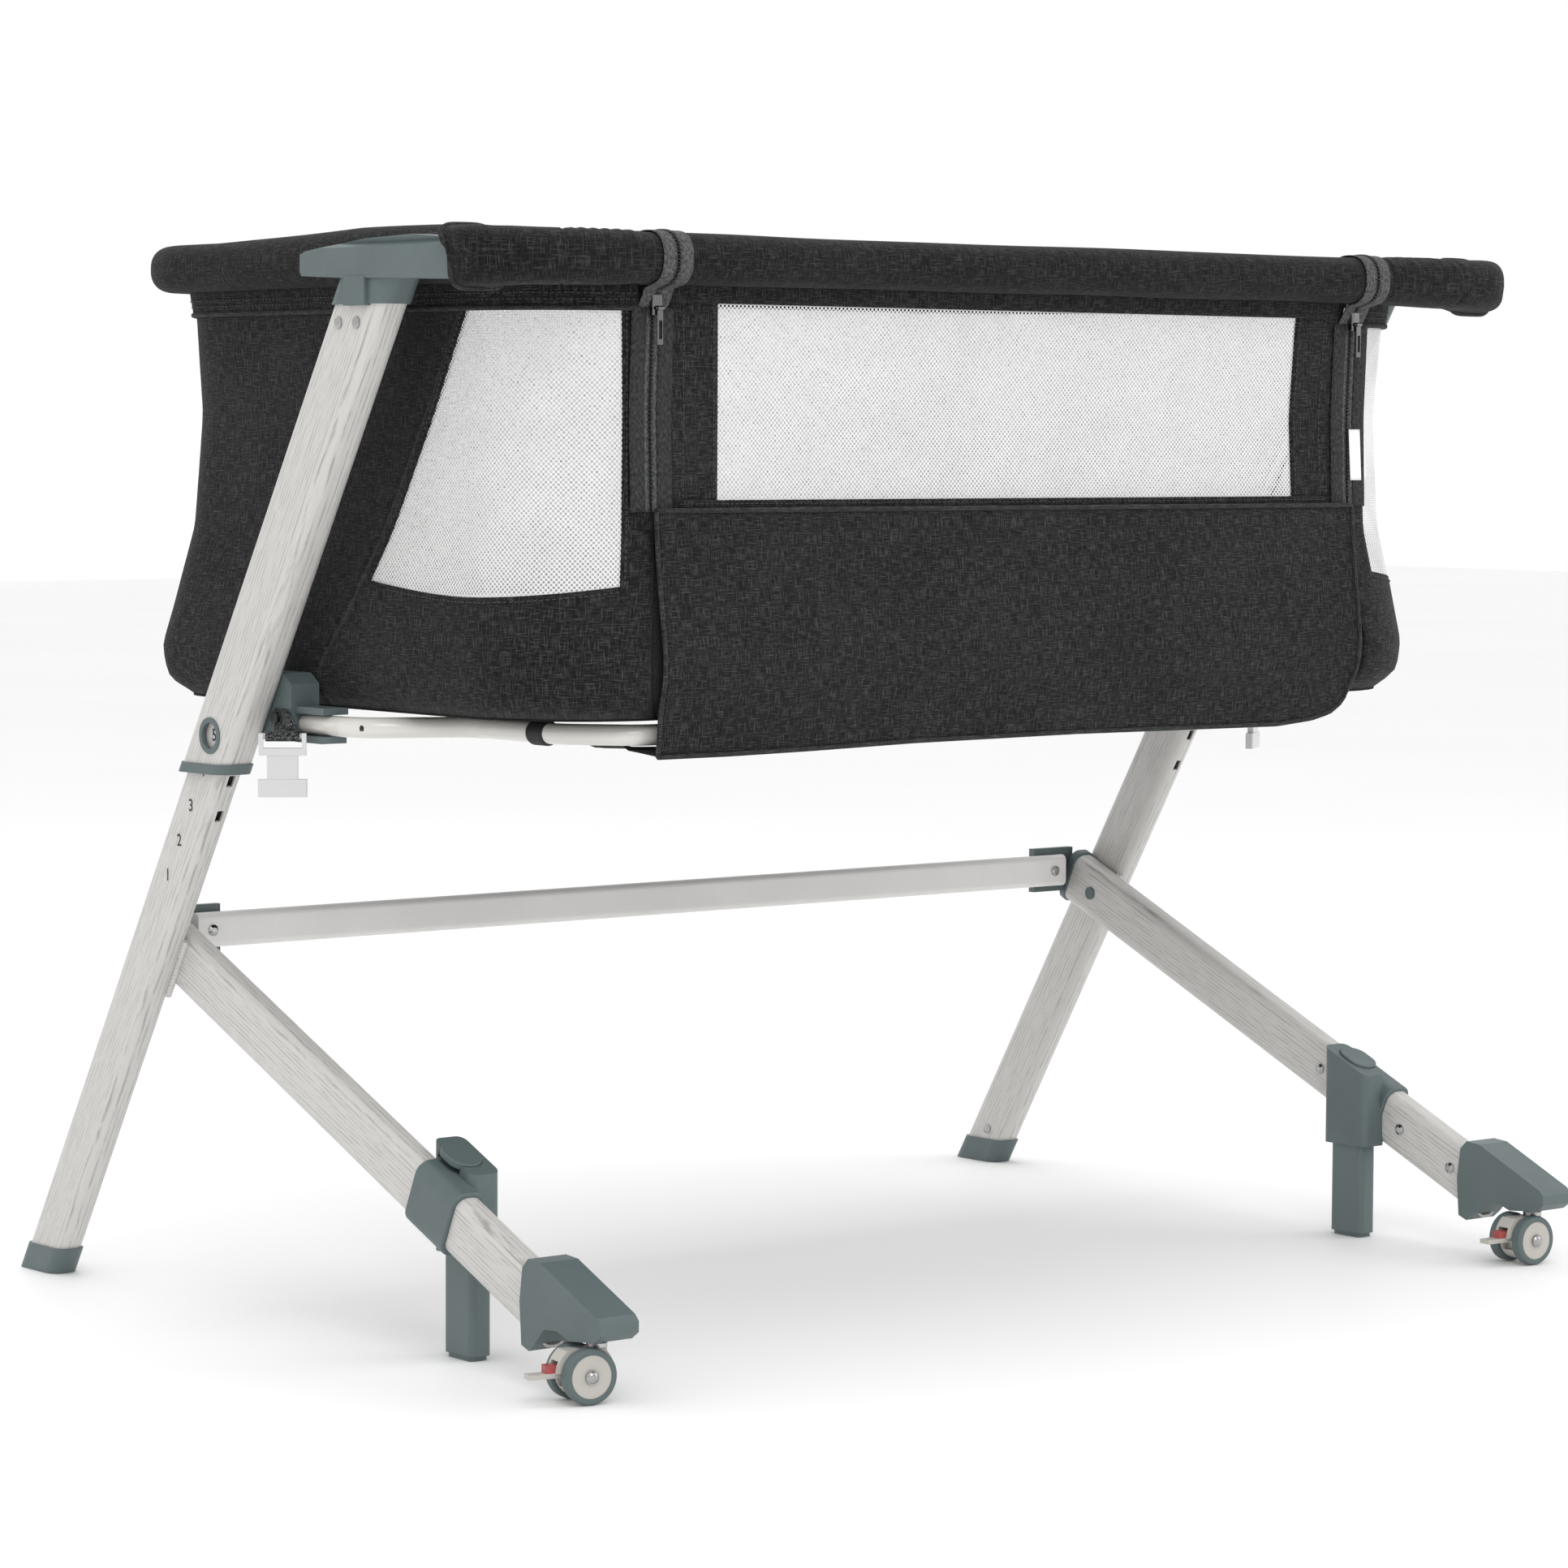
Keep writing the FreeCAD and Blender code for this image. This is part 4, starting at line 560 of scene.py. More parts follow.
def net_effect():
    """Knitted net in metres: on a grid turned by an eighth of a turn, a point nearer to its
    cell's middle than the hole's radius is open."""
    tree, given, result = effect("Knitted net", [
        ("Vector", "NodeSocketVector", None), ("Pitch", "NodeSocketFloat", 0.0024),
        ("Hole", "NodeSocketFloat", 0.3)],
        [("Thread", "NodeSocketFloat"), ("Height", "NodeSocketFloat")])
    turned = scaled(tree, given.outputs["Vector"], (1, 1, 1), (0, 0, math.radians(45)))
    parts = add(tree, "ShaderNodeSeparateXYZ", {0: turned})
    apart = []
    for k in (0, 1):
        cell = calc(tree, "DIVIDE", parts.outputs[k], given.outputs["Pitch"])
        apart.append(calc(tree, "SUBTRACT", calc(tree, "FRACT", cell), 0.5))
    square = calc(tree, "ADD", calc(tree, "MULTIPLY", apart[0], apart[0]),
                  calc(tree, "MULTIPLY", apart[1], apart[1]))
    reach = calc(tree, "SQRT", square)
    over = calc(tree, "SUBTRACT", reach, given.outputs["Hole"])
    tree.links.new(spread(tree, over, -0.05, 0.05), result.inputs["Thread"])
    tree.links.new(spread(tree, over, 0.0, 0.3), result.inputs["Height"])
    return tree


def new_finish(name, **shader):
    """A material whose Principled shader has the given plain values."""
    material = bpy.data.materials.new(name)
    material.use_nodes = True
    bsdf = material.node_tree.nodes["Principled BSDF"]
    for key, value in shader.items():
        bsdf.inputs[key.replace("_", " ")].default_value = value
    return material, material.node_tree, bsdf


def relief(tree, bsdf, height, strength, distance):
    """A bump from a height to the shader's normal."""
    bump = add(tree, "ShaderNodeBump", {
        "Height": height, "Strength": strength, "Distance": distance})
    tree.links.new(bump.outputs["Normal"], bsdf.inputs["Normal"])


def place_effect(tree, name, **inputs):
    """A placed node group with its inputs filled."""
    made = tree.nodes.new("ShaderNodeGroup")
    made.node_tree = bpy.data.node_groups[name]
    for key, value in inputs.items():
        socket = made.inputs[key.replace("_", " ")]
        if isinstance(value, bpy.types.NodeSocket):
            tree.links.new(value, socket)
        else:
            socket.default_value = value
    return made


def linen_finish(name, ground, thread, flecks, pitch=0.0008, bump=0.35, own_map=True):
    """Woven cloth on its own flat pattern."""
    material, tree, bsdf = new_finish(name, Sheen_Weight=0.04, Sheen_Roughness=0.5,
                                      Specular_IOR_Level=0.2)
    vector = add(tree, "ShaderNodeTexCoord").outputs["UV" if own_map else "Object"]
    weave = place_effect(tree, "Linen weave", Vector=vector, Ground=colour4(ground),
                         Thread=colour4(thread), Flecks=flecks, Pitch=pitch)
    tree.links.new(weave.outputs["Colour"], bsdf.inputs["Base Color"])
    tree.links.new(weave.outputs["Roughness"], bsdf.inputs["Roughness"])
    relief(tree, bsdf, weave.outputs["Height"], bump, 0.0004)
    return material


def film_finish(name, colours, lean):
    """Wood-grain film whose lines run along a tube that leans from upright about X."""
    material, tree, bsdf = new_finish(name, Coat_Weight=0.15, Coat_Roughness=0.35)
    vector = scaled(tree, add(tree, "ShaderNodeTexCoord").outputs["Object"], (1, 1, 1),
                    (math.radians(-lean), 0, 0))
    film = place_effect(tree, "Grain film", Vector=vector, Ground=colour4(colours.film),
                        Line=colour4(colours.grain), Depth=0.80)
    tree.links.new(film.outputs["Colour"], bsdf.inputs["Base Color"])
    cloud = noise(tree, vector, 30.0, 3.0)
    tree.links.new(spread(tree, cloud, 0.3, 0.7, 0.42, 0.52), bsdf.inputs["Roughness"])
    relief(tree, bsdf, film.outputs["Height"], 0.12, 0.0001)
    return material


def moulded_finish(name, ground, grain=0.0006, shift=0.08, gloss=(0.42, 0.52), bump=0.2,
                   **shader):
    """Moulded plastic, rubber or paint."""
    material, tree, bsdf = new_finish(name, **shader)
    vector = add(tree, "ShaderNodeTexCoord").outputs["Object"]
    skin = place_effect(tree, "Moulded skin", Vector=vector, Ground=colour4(ground), Shift=shift,
                        Grain_size=grain, Gloss_low=gloss[0], Gloss_high=gloss[1])
    tree.links.new(skin.outputs["Colour"], bsdf.inputs["Base Color"])
    tree.links.new(skin.outputs["Roughness"], bsdf.inputs["Roughness"])
    relief(tree, bsdf, skin.outputs["Height"], bump, 0.0001)
    return material


def net_finish(colours):
    """White net with open holes, its threads dimmed towards each hole's edge as painted shade."""
    material, tree, bsdf = new_finish("White net", Roughness=0.75, Specular_IOR_Level=0.2)
    vector = add(tree, "ShaderNodeTexCoord").outputs["UV"]
    net = place_effect(tree, "Knitted net", Vector=vector, Pitch=0.0024, Hole=0.345)
    shade = spread(tree, noise(tree, vector, 35.0, 3.0), 0.3, 0.7)
    # Painted shade: the threads darken to 0.72 of the net colour towards each hole's edge; the
    # noise only varies the tone at random.
    edge = calc(tree, "MULTIPLY", net.outputs["Height"], 0.75)
    hole_shade_colour = tuple(0.72 * value for value in colours.net)
    tree.links.new(mix(tree, calc(tree, "ADD", edge, calc(tree, "MULTIPLY", shade, 0.25)),
                       colour4(hole_shade_colour), colour4(colours.net)), bsdf.inputs["Base Color"])
    tree.links.new(net.outputs["Thread"], bsdf.inputs["Alpha"])
    relief(tree, bsdf, net.outputs["Height"], 0.3, 0.0002)
    return material


def board_finish():
    """Brown fibreboard: fine fibres in two colours."""
    material, tree, bsdf = new_finish("Fibreboard", Roughness=0.8)
    vector = add(tree, "ShaderNodeTexCoord").outputs["Object"]
    fibre = noise(tree, scaled(tree, vector, (160, 900, 160)), 1.0, 4.0, 0.7)
    tree.links.new(mix(tree, spread(tree, fibre, 0.3, 0.7), (0.28, 0.18, 0.09, 1),
                       (0.42, 0.30, 0.17, 1)), bsdf.inputs["Base Color"])
    relief(tree, bsdf, fibre, 0.3, 0.0003)
    return material


def twill_finish(name, ground, thread, pitch=0.0011):
    """Narrow tape with a slanting rib: stripes across the sum of both directions, broken by
    stretched noise into the two threads."""
    material, tree, bsdf = new_finish(name, Roughness=0.82, Specular_IOR_Level=0.25)
    vector = add(tree, "ShaderNodeTexCoord").outputs["UV"]
    parts = add(tree, "ShaderNodeSeparateXYZ", {0: vector})
    slant = calc(tree, "ADD", parts.outputs[0], parts.outputs[1])
    rib = calc(tree, "PINGPONG", calc(tree, "DIVIDE", slant, pitch), 0.5)
    broken = noise(tree, scaled(tree, vector, (700, 350, 1)), 1.0, 2.0)
    share = calc(tree, "MULTIPLY", spread(tree, rib, 0.1, 0.4), spread(tree, broken, 0.42, 0.6))
    tree.links.new(mix(tree, share, colour4(ground), colour4(thread)), bsdf.inputs["Base Color"])
    relief(tree, bsdf, rib, 0.5, 0.0003)
    return material


def make_finishes():
    """Build every effect and material once, and give the CAD pieces theirs."""
    colours = bpy.context.scene.bassinet_colours
    for build in (linen_effect, film_effect, moulding_effect, net_effect):
        build()
    linen_finish("Charcoal linen", colours.charcoal, colours.fleck, 0.66)
    linen_finish("Rail linen", tuple(0.6 * v for v in colours.charcoal),
                 tuple(0.72 * v for v in colours.fleck), 0.66)
    linen_finish("Charcoal backing", (0.010, 0.010, 0.010), (0.03, 0.03, 0.03), 0.3)
    linen_finish("White lining", (0.66, 0.66, 0.66), (0.92, 0.92, 0.91), 0.9, 0.0007, 0.15)
    linen_finish("White ticking", (0.62, 0.62, 0.61), (0.86, 0.86, 0.85), 0.9, 0.0009, 0.2,
                 own_map=False)
    linen_finish("Piping cloth", (0.016, 0.017, 0.0165), (0.12, 0.125, 0.12), 0.6)
    twill_finish("Zip tape", (0.045, 0.047, 0.045), (0.17, 0.175, 0.17))
    twill_finish("Binding tape", (0.014, 0.015, 0.0145), (0.07, 0.073, 0.07), 0.0016)
    twill_finish("Tether webbing", (0.012, 0.013, 0.013), (0.17, 0.18, 0.18), 0.0022)
    moulded_finish("Sewing thread", (0.05, 0.052, 0.05), gloss=(0.5, 0.65), shift=0.2)
    moulded_finish("Zip coil", (0.015, 0.015, 0.016), gloss=(0.22, 0.3), shift=0.1)
    moulded_finish("White label", (0.86, 0.86, 0.85), grain=0.0004, shift=0.03, gloss=(0.5, 0.6))
    moulded_finish("Printed ink", (0.02, 0.02, 0.02), gloss=(0.45, 0.55), shift=0.1)
    moulded_finish("Strap sleeve", (0.012, 0.012, 0.012), grain=0.0009, gloss=(0.55, 0.7))
    net_finish(colours)
    slate = colours.slate
    by_slot = {
        "slate_plastic": moulded_finish("Slate plastic", slate, shift=0.10),
        "post_plastic": moulded_finish("Post plastic", slate, gloss=(0.34, 0.44), shift=0.08),
        "hub_plastic": moulded_finish("Hub plastic", (0.50, 0.48, 0.44), gloss=(0.35, 0.45)),
        "tyre_grey": moulded_finish("Soft tread", tuple(0.95 * v for v in slate),
                                    grain=0.0004, gloss=(0.5, 0.62), bump=0.35),
        "brake_red": moulded_finish("Red plastic", (0.38, 0.065, 0.065), gloss=(0.3, 0.4)),
        "rivet_chrome": moulded_finish("Rivet chrome", (0.44, 0.44, 0.44), gloss=(0.14, 0.24),
                                       shift=0.12, Metallic=1.0),
        "stem_steel": moulded_finish("Stem steel", (0.55, 0.55, 0.55), gloss=(0.22, 0.34),
                                     shift=0.15, Metallic=1.0),
        "inner_steel": moulded_finish("Inner steel", (0.45, 0.45, 0.45), gloss=(0.35, 0.45),
                                      Metallic=1.0),
        "zip_metal": moulded_finish("Dark nickel", (0.20, 0.20, 0.20), gloss=(0.18, 0.3),
                                    shift=0.2, Metallic=1.0),
        "screw_black": moulded_finish("Black oxide", (0.012, 0.012, 0.012), gloss=(0.35, 0.45)),
        "buckle_white": moulded_finish("White buckle", (0.62, 0.62, 0.63), gloss=(0.28, 0.38),
                                       shift=0.04),
        "crossbar_paint": moulded_finish("Crossbar paint", (0.80, 0.785, 0.765),
                                         gloss=(0.38, 0.46), shift=0.05),
        "bow_paint": moulded_finish("Bow paint", (0.70, 0.68, 0.64), gloss=(0.15, 0.22),
                                    shift=0.04, Coat_Weight=0.4, Coat_Roughness=0.1),
        "board": board_finish(),
    }
    rear_film = film_finish("Rear leg film", colours, 31.0)
    front_film = film_finish("Front leg film", colours, -66.2)
    for entry in frame["record"]["subparts"]:
        node = NODES[entry["node"]]
        finish = by_slot.get(entry["material_slot"], bpy.data.materials["Charcoal backing"])
        if entry["material_slot"] == "wood_paint":
            finish = front_film if "front" in entry["node"] else rear_film
        node.data.materials.clear()
        node.data.materials.append(finish)


def finish_named(name):
    """A material made by make_finishes."""
    return bpy.data.materials[name]


# ---------------------------------------------------------------- cloth and padding


def cloth(name, points, uv, finish, body, thickness, held="stretched", keep=None, flip=False,
          replaces=(), rests_on=()):
    """A sheet of cloth on a grid, with its thickness."""
    piece = grid_piece(name, points, uv, finish_named(finish), body, keep=keep, flip=flip)
    if thickness:
        thicken(piece, thickness)
    if replaces:
        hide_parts(*replaces)
    return piece


def section(turn, half_wide, half_high, power=2.4):
    """A superellipse: each of cosine and sine keeps its sign and is raised to 2 / power."""
    cos, sin = np.cos(turn), np.sin(turn)
    return (half_wide * np.sign(cos) * np.abs(cos) ** (2 / power),
            half_high * np.sign(sin) * np.abs(sin) ** (2 / power))


def rail_line(s):
    """Points and outward normals of the rail's middle line at distances round its ring,
    with its rear corners a little tighter than its front ones."""
    straight = RAIL_BASE[0] - RAIL_BASE[2] + RAIL_BASE[2] * math.pi / 2
    length = 2 * (RAIL_BASE[1] - RAIL_BASE[2])
    back = np.clip((np.minimum(s, RAIL_ROUND - s) - straight) / length, 0, 1)
    x, y, normal = rounded_ring(s, *RAIL_BASE[:2], RAIL_BASE[2] - 0.018 * back, RAIL_BASE)
    return np.stack([x, y, np.full_like(x, RAIL_MID_Z)], -1), normal


def piping(name, line, radius, closed=False):
    """A thin cord of piping cloth that rides on the basket."""
    tube_piece(name, line, radius, finish_named("Piping cloth"), "upper", closed=closed)


def swept_roll(name, line, normal, s, tuck, body, replaces, lift=0.0):
    """A padded roll: superellipse sections across a level line. Each section is smaller by
    tuck, creases with ripple, and shrinks on a quarter circle towards both ends."""
    sizes = bpy.context.scene.bassinet_sizes
    half, end_round, end_long, crease = 0.017, 0.0022, 0.003, 0.0006
    turn = np.linspace(0, 2 * math.pi, 40, endpoint=False)[:, None]
    out, up = section(turn, sizes.rail_wide / 2, sizes.rail_high / 2)
    girth = turn * (sizes.rail_wide + sizes.rail_high) / 4
    near = np.clip(np.minimum(s - s[0], s[-1] - s) / end_long, 0, 1)
    ends = 1 - end_round / half * (1 - np.sqrt(np.clip(1 - (1 - near) ** 2, 0, 1)))
    swell = ends - tuck / half
    soft = crease * ripple(s[None, :], girth, 11, 0.05, 0.3)
    swell = swell[None, :] - crease / half + np.minimum(soft, crease) / half
    up = up + lift * np.clip(np.sin(turn), 0, 1) ** 0.8
    points = (line[None] + (out * swell)[..., None] * normal[None]
              + (up * swell)[..., None] * np.array([0.0, 0.0, 1.0]))
    closed_turn = np.append(girth[:, 0], math.pi * (sizes.rail_wide + sizes.rail_high) / 2)
    piece = grid_piece(name, points, pair(s[None, :], closed_turn[:, None]),
                       finish_named("Rail linen"), body, closed=True, caps=True)
    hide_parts(*replaces)


def build_rail():
    """The fixed padded rail from zip to zip round the back, and the drop side's own roll."""
    last = RAIL_ROUND - 0.3158
    s = np.unique(np.concatenate([
        np.linspace(0.3158, 0.3200, 6), np.arange(0.3200, last - 0.0042, 0.0052),
        np.linspace(last - 0.0042, last, 6),
        np.linspace(0.394, 0.406, 13), np.linspace(RAIL_ROUND - 0.406, RAIL_ROUND - 0.394, 13)]))
    line, normal = rail_line(s)
    seams = (np.exp(-((s - RAIL_SEAM) / 0.0013) ** 2)
             + np.exp(-((s - RAIL_ROUND + RAIL_SEAM) / 0.0013) ** 2))
    gathers = np.zeros_like(s)
    for seam, sign in ((RAIL_SEAM, -1), (RAIL_ROUND - RAIL_SEAM, 1)):
        away = sign * (s - seam)
        gathers += np.where(away > 0, np.exp(-away / 0.03), 0) * (
            0.5 + 0.5 * np.cos(2 * math.pi * away / 0.0085)) * np.clip(away / 0.004, 0, 1)
    along = np.minimum(s, RAIL_ROUND - s)
    lift = 0.006 * np.interp(along, [0.42, 0.47, 0.58, 0.74], [0, 1, 1, 0])[None]
    swept_roll("rail_roll", line, normal, s, 0.0014 * seams + 0.0005 * gathers, "upper",
               ["rail_cover"], lift)
    reach = PANEL_HIGH.x
    s = np.concatenate([np.linspace(-reach, -reach + 0.004, 6), np.linspace(
        -reach + 0.008, reach - 0.008, 118), np.linspace(reach - 0.004, reach, 6)])
    line = np.stack([s, np.full_like(s, DROP_MID_Y), np.full_like(s, RAIL_MID_Z)], -1)
    normal = np.tile([0.0, -1.0, 0.0], (len(s), 1))
    swept_roll("drop_side_roll", line, normal, s, np.zeros_like(s), "drop_panel",
               ["drop_rail_cover"])


def gather(x):
    """Shallow folds across the rail between its corner seam and the zip: a raised cosine
    along x that fades out at both ends."""
    x = np.abs(x)
    inside = np.clip((x - 0.336) / 0.008, 0, 1) * np.clip((0.397 - x) / 0.004, 0, 1)
    return inside * (0.5 + 0.5 * np.cos(2 * math.pi * x / 0.0092))


def build_pockets():
    """The padded pockets that close over the bracket arms: superellipse sections between an
    outer and an inner plan line, smoothed, growing higher towards the slanting opening."""
    outer = smooth_path([(-0.338, -0.2582), (-0.372, -0.2588), (-0.412, -0.2588),
                         (-0.446, -0.2545), (-0.4665, -0.2465), (-0.4745, -0.235),
                         (-0.4760, -0.224)], 90)
    inner = smooth_path([(-0.338, -0.2218), (-0.360, -0.2222), (-0.388, -0.221), (-0.410, -0.217),
                         (-0.424, -0.2145), (-0.4315, -0.217), (-0.4335, -0.224)], 90)
    share = np.linspace(0, 1, 90)
    high = 0.0171 + 0.0030 * share ** 1.2
    grow = 0.965 + 0.04 * np.clip(share / 0.10, 0, 1)
    turn = np.linspace(0, 2 * math.pi, 44, endpoint=False)[:, None]
    wide = np.linalg.norm(outer - inner, axis=-1) / 2
    across = unit(outer - inner)
    out, up = section(turn, (wide * grow)[None], (high * grow)[None], 2.5 + 2.0 * share[None] ** 2)
    middle = (outer + inner) / 2
    upper = np.clip(np.sin(turn), 0, 1)
    seam = np.exp(-((middle[:, 0] + 0.4005) / 0.0012) ** 2)[None] * 0.0009
    creases = (0.0006 * ripple(share[None] * 0.15, turn * 0.02, 5, 0.02, 0.08) * share[None]
               + 0.0008 * upper * gather(middle[:, 0])[None])
    factor = 1 + (creases - seam) / 0.018
    out, up = out * factor, up * factor
    x = middle[None, :, 0] + out * across[None, :, 0]
    y = middle[None, :, 1] + out * across[None, :, 1]
    lean = np.clip((share - 0.72) / 0.28, 0, 1) ** 2
    y = y + (0.016 * lean)[None] * np.clip(up / 0.02, 0, 1)
    z = RAIL_MID_Z - 0.0016 * share[None] + up
    points = np.stack([x, y, z], -1)
    closed = np.append(turn[:, 0], 2 * math.pi) * 0.018
    uv = pair(share[None] * 0.150, closed[:, None])
    tail = smooth_path([(-0.4370, -0.2100, 0.7372), (-0.4335, -0.192, 0.7365),
                        (-0.4325, -0.165, 0.7355), (-0.4335, -0.120, 0.7330)], 40)
    for side, sign in SIDES:
        place = on_side(sign, points)
        piece = grid_piece("rail_pocket_" + side, place, uv, finish_named("Rail linen"),
                           "upper", closed=True, caps=True)
        weld(piece.data, 0.0, outward=True)
        piping("rail_pocket_piping_" + side, place[:, -1] + [0, 0.0006, 0], 0.0019, closed=True)
        piping("rail_opening_piping_" + side, on_side(sign, tail), 0.0017)


def wall_block(name, s, z, finish, outward, thickness, keep=None, flip=False, **more):
    """One cloth wall on grids of ring distance and height."""
    sizes = bpy.context.scene.bassinet_sizes
    level = np.clip((z - WALL_FOOT) / 0.03, 0, 1) * np.clip((WALL_HEAD - z) / 0.02, 0.2, 1)
    waves = sizes.ripple * 0.6 * ripple(s, z, sizes.seed + 3, 0.05, 0.24) * level
    points = wall_surface(s, z, waves + outward)
    if flip:
        points, s, z, keep = points[:, ::-1], s[:, ::-1], z[:, ::-1], keep[:, ::-1]
    return cloth(name, points, pair(s, z), finish, "upper", thickness, keep=keep, **more)


def turn_over(piece):
    """Turn a lining's faces to the inside of the basket; its thickness stays outside."""
    piece.data.flip_normals()


def wall_lining(name, s, z, outward, keep=None, flip=False):
    """The white lining behind one cloth wall."""
    turn_over(wall_block(name, s, z, "White lining", outward, LINING_THICK, keep, flip))


def window_rear(z):
    """Ring distance of the side window's slanting rear edge at a height."""
    share = (z - WINDOW_FOOT) / (WINDOW_HEAD - WINDOW_FOOT)
    return side_station(-0.035 - 0.112 * np.clip(share, -0.35, 1.05))


def side_grid():
    """Ring distance and height of the side wall, with lines on every edge of its window,
    whose foot sags between its ends by a sine. Steps 1 to 2 of columns and rows are the
    window, and keep leaves its quads out."""
    rows = steps([0, 1, 2, 3], [13, 26, 3])
    columns = steps([0, 1, 2, 3], [5, 40, 2])
    t, w = np.meshgrid(columns, rows)
    inside = np.clip(t - 1, 0, 1)
    foot = WINDOW_FOOT - WINDOW_SAG * np.sin(math.pi * inside)
    z = np.where(w < 1, WALL_SEAM + (foot - WALL_SEAM) * w, np.where(
        w < 2, foot + (WINDOW_HEAD - foot) * (w - 1), WINDOW_HEAD + 0.011 * (w - 2)))
    rear = window_rear(z)
    s = np.where(t < 1, ZIP_EDGE + (WINDOW_FRONT - ZIP_EDGE) * t, np.where(
        t < 2, WINDOW_FRONT + (rear - WINDOW_FRONT) * (t - 1), rear + 0.010 * (t - 2)))
    keep = ~((columns[:-1] >= 0.999) & (columns[:-1] < 1.999))[None, :] | ~(
        (rows[:-1] >= 0.999) & (rows[:-1] < 1.999))[:, None]
    return s, z, keep, columns, rows


def build_walls():
    """Outer cloth and white lining of the sides, the back, the foot of the front and the
    floor, each a sheet on the ring of the basket."""
    sizes = bpy.context.scene.bassinet_sizes
    thick, gap = sizes.cloth_thick, sizes.lining_gap
    s, z, keep = side_grid()[:3]
    for side, place, flip, replaced in (("right", s, False, ["basket_shell"]),
                                        ("left", WALL_ROUND - s, True, [])):
        wall_block("side_wall_" + side, place, z, "Charcoal linen", 0.0, thick, keep, flip,
                   replaces=replaced)
        wall_lining("side_lining_" + side, place, z, -gap, keep, flip)
    rows = np.concatenate([np.linspace(WALL_SEAM, 0.4300, 5), np.linspace(0.4345, 0.703, 40)])
    start = window_rear(rows) + 0.0098
    s = start[:, None] + (WALL_ROUND - 2 * start[:, None]) * np.linspace(0, 1, 190)[None]
    z = np.broadcast_to(rows[:, None], s.shape)
    wall_block("rear_wall", s, z, "Charcoal linen", 0.0, thick)
    wall_lining("rear_lining", s, z, -gap)
    s, z = np.meshgrid(np.linspace(-ZIP_EDGE, ZIP_EDGE, 90),
                       np.linspace(WALL_SEAM, DROP_LINE - 0.0006, 24))
    behind_flap = 0.0012
    wall_block("front_wall", s, z, "Charcoal backing", -behind_flap, thick)
    wall_lining("front_lining", s, z, -gap - behind_flap)
    share = np.concatenate([np.linspace(1, 0.985, 4), np.linspace(0.96, 0, 26)])[:, None]
    rim = wall_surface(np.linspace(0, WALL_ROUND, 161), WALL_SEAM)
    points = rim[None] * share[..., None]
    points[..., 2] = 0.4213 - 0.0016 * (1 - share) ** 0.5
    floor = cloth("basket_floor", points, points[..., :2].copy(), "Charcoal backing", "upper",
                  0.0)
    weld(floor.data, 1e-6)
    thicken(floor, 0.0012)


def build_side_windows():
    """Net in the two side windows, on the wall's own grid a little inside the outer cloth,
    drawn in slightly between its edges."""
    s, z, _, columns, rows = side_grid()
    c = slice(*np.searchsorted(columns, [0.99, 2.01]))
    r = slice(*np.searchsorted(rows, [0.99, 2.01]))
    s, z = s[r, c], z[r, c]
    across = np.sin(math.pi * np.linspace(0, 1, s.shape[1])[None])
    up = np.sin(math.pi * np.linspace(0, 1, s.shape[0])[:, None])
    drawn = -0.0009 - 0.0022 * across * up
    drawn = drawn + 0.0006 * ripple(s, z, 21, 0.04, 0.16) * across * up
    for side, place, order, replaced in (("right", s, 1, ["side_mesh_windows"]),
                                         ("left", WALL_ROUND - s, -1, [])):
        points, uv = wall_surface(place, z, drawn), pair(place, z)
        cloth("side_net_" + side, points[:, ::order], uv[:, ::order], "White net", "upper", 0.0,
              replaces=replaced)


def build_panel():
    """The drop side: four charcoal bands with a white back round a white net. The foot band
    is folded: down the back, under the edge and up the face."""
    sizes = bpy.context.scene.bassinet_sizes
    reach, foot, head = PANEL_HIGH.x, PANEL_LOW.z, PANEL_HIGH.z
    hole_x, hole_low, hole_high = NET_HIGH.x + 0.002, NET_LOW.z - 0.0005, WINDOW_HEAD
    down = np.linspace(hole_low, foot + 0.0006, 5)
    out = np.concatenate([np.full(5, -0.0030), [-0.0020, -0.0006], np.full(5, 0.0004)])
    s, z = np.meshgrid(np.linspace(-reach, reach, 90),
                       np.concatenate([down, [foot, foot], down[::-1]]))
    points = wall_surface(s, z, out[:, None])
    run = np.concatenate([[0], np.cumsum(np.linalg.norm(np.diff(points[:, 0], axis=0), axis=1))])
    cloth("panel_band_foot", points, pair(s, run[:, None]), "Charcoal linen", "drop_panel",
          sizes.cloth_thick, held="folded", replaces=["drop_panel_fabric"])
    bands = {
        "head": ((-reach, reach), (hole_high, head + 0.008), 90, 7),
        "left": ((-reach, -hole_x), (hole_low, hole_high), 12, 40),
        "right": ((hole_x, reach), (hole_low, hole_high), 12, 40),
    }
    for name, (x_range, z_range, across, up) in bands.items():
        s, z = np.meshgrid(np.linspace(*x_range, across), np.linspace(*z_range, up))
        cloth("panel_band_" + name, wall_surface(s, z, 0.0002), pair(s, z), "Charcoal linen",
              "drop_panel", sizes.cloth_thick)
        turn_over(cloth("panel_lining_" + name, wall_surface(s, z, -0.0032), pair(s, z),
                        "White lining", "drop_panel", LINING_THICK))
    s, z = np.meshgrid(np.linspace(-hole_x - 0.004, hole_x + 0.004, 120),
                       np.linspace(hole_low - 0.003, hole_high + 0.003, 34))
    u, v = (s / hole_x + 1) / 2, (z - hole_low) / (hole_high - hole_low)
    bulge = np.sin(math.pi * np.clip(u, 0, 1)) ** 0.5 * np.sin(math.pi * np.clip(v, 0, 1))
    drawn = -0.0009 - 0.0012 * bulge + 0.0005 * ripple(s, z, 31, 0.05, 0.2) * bulge
    cloth("panel_net", wall_surface(s, z, drawn), pair(s, z), "White net", "drop_panel", 0.0,
          replaces=["drop_panel_mesh"])


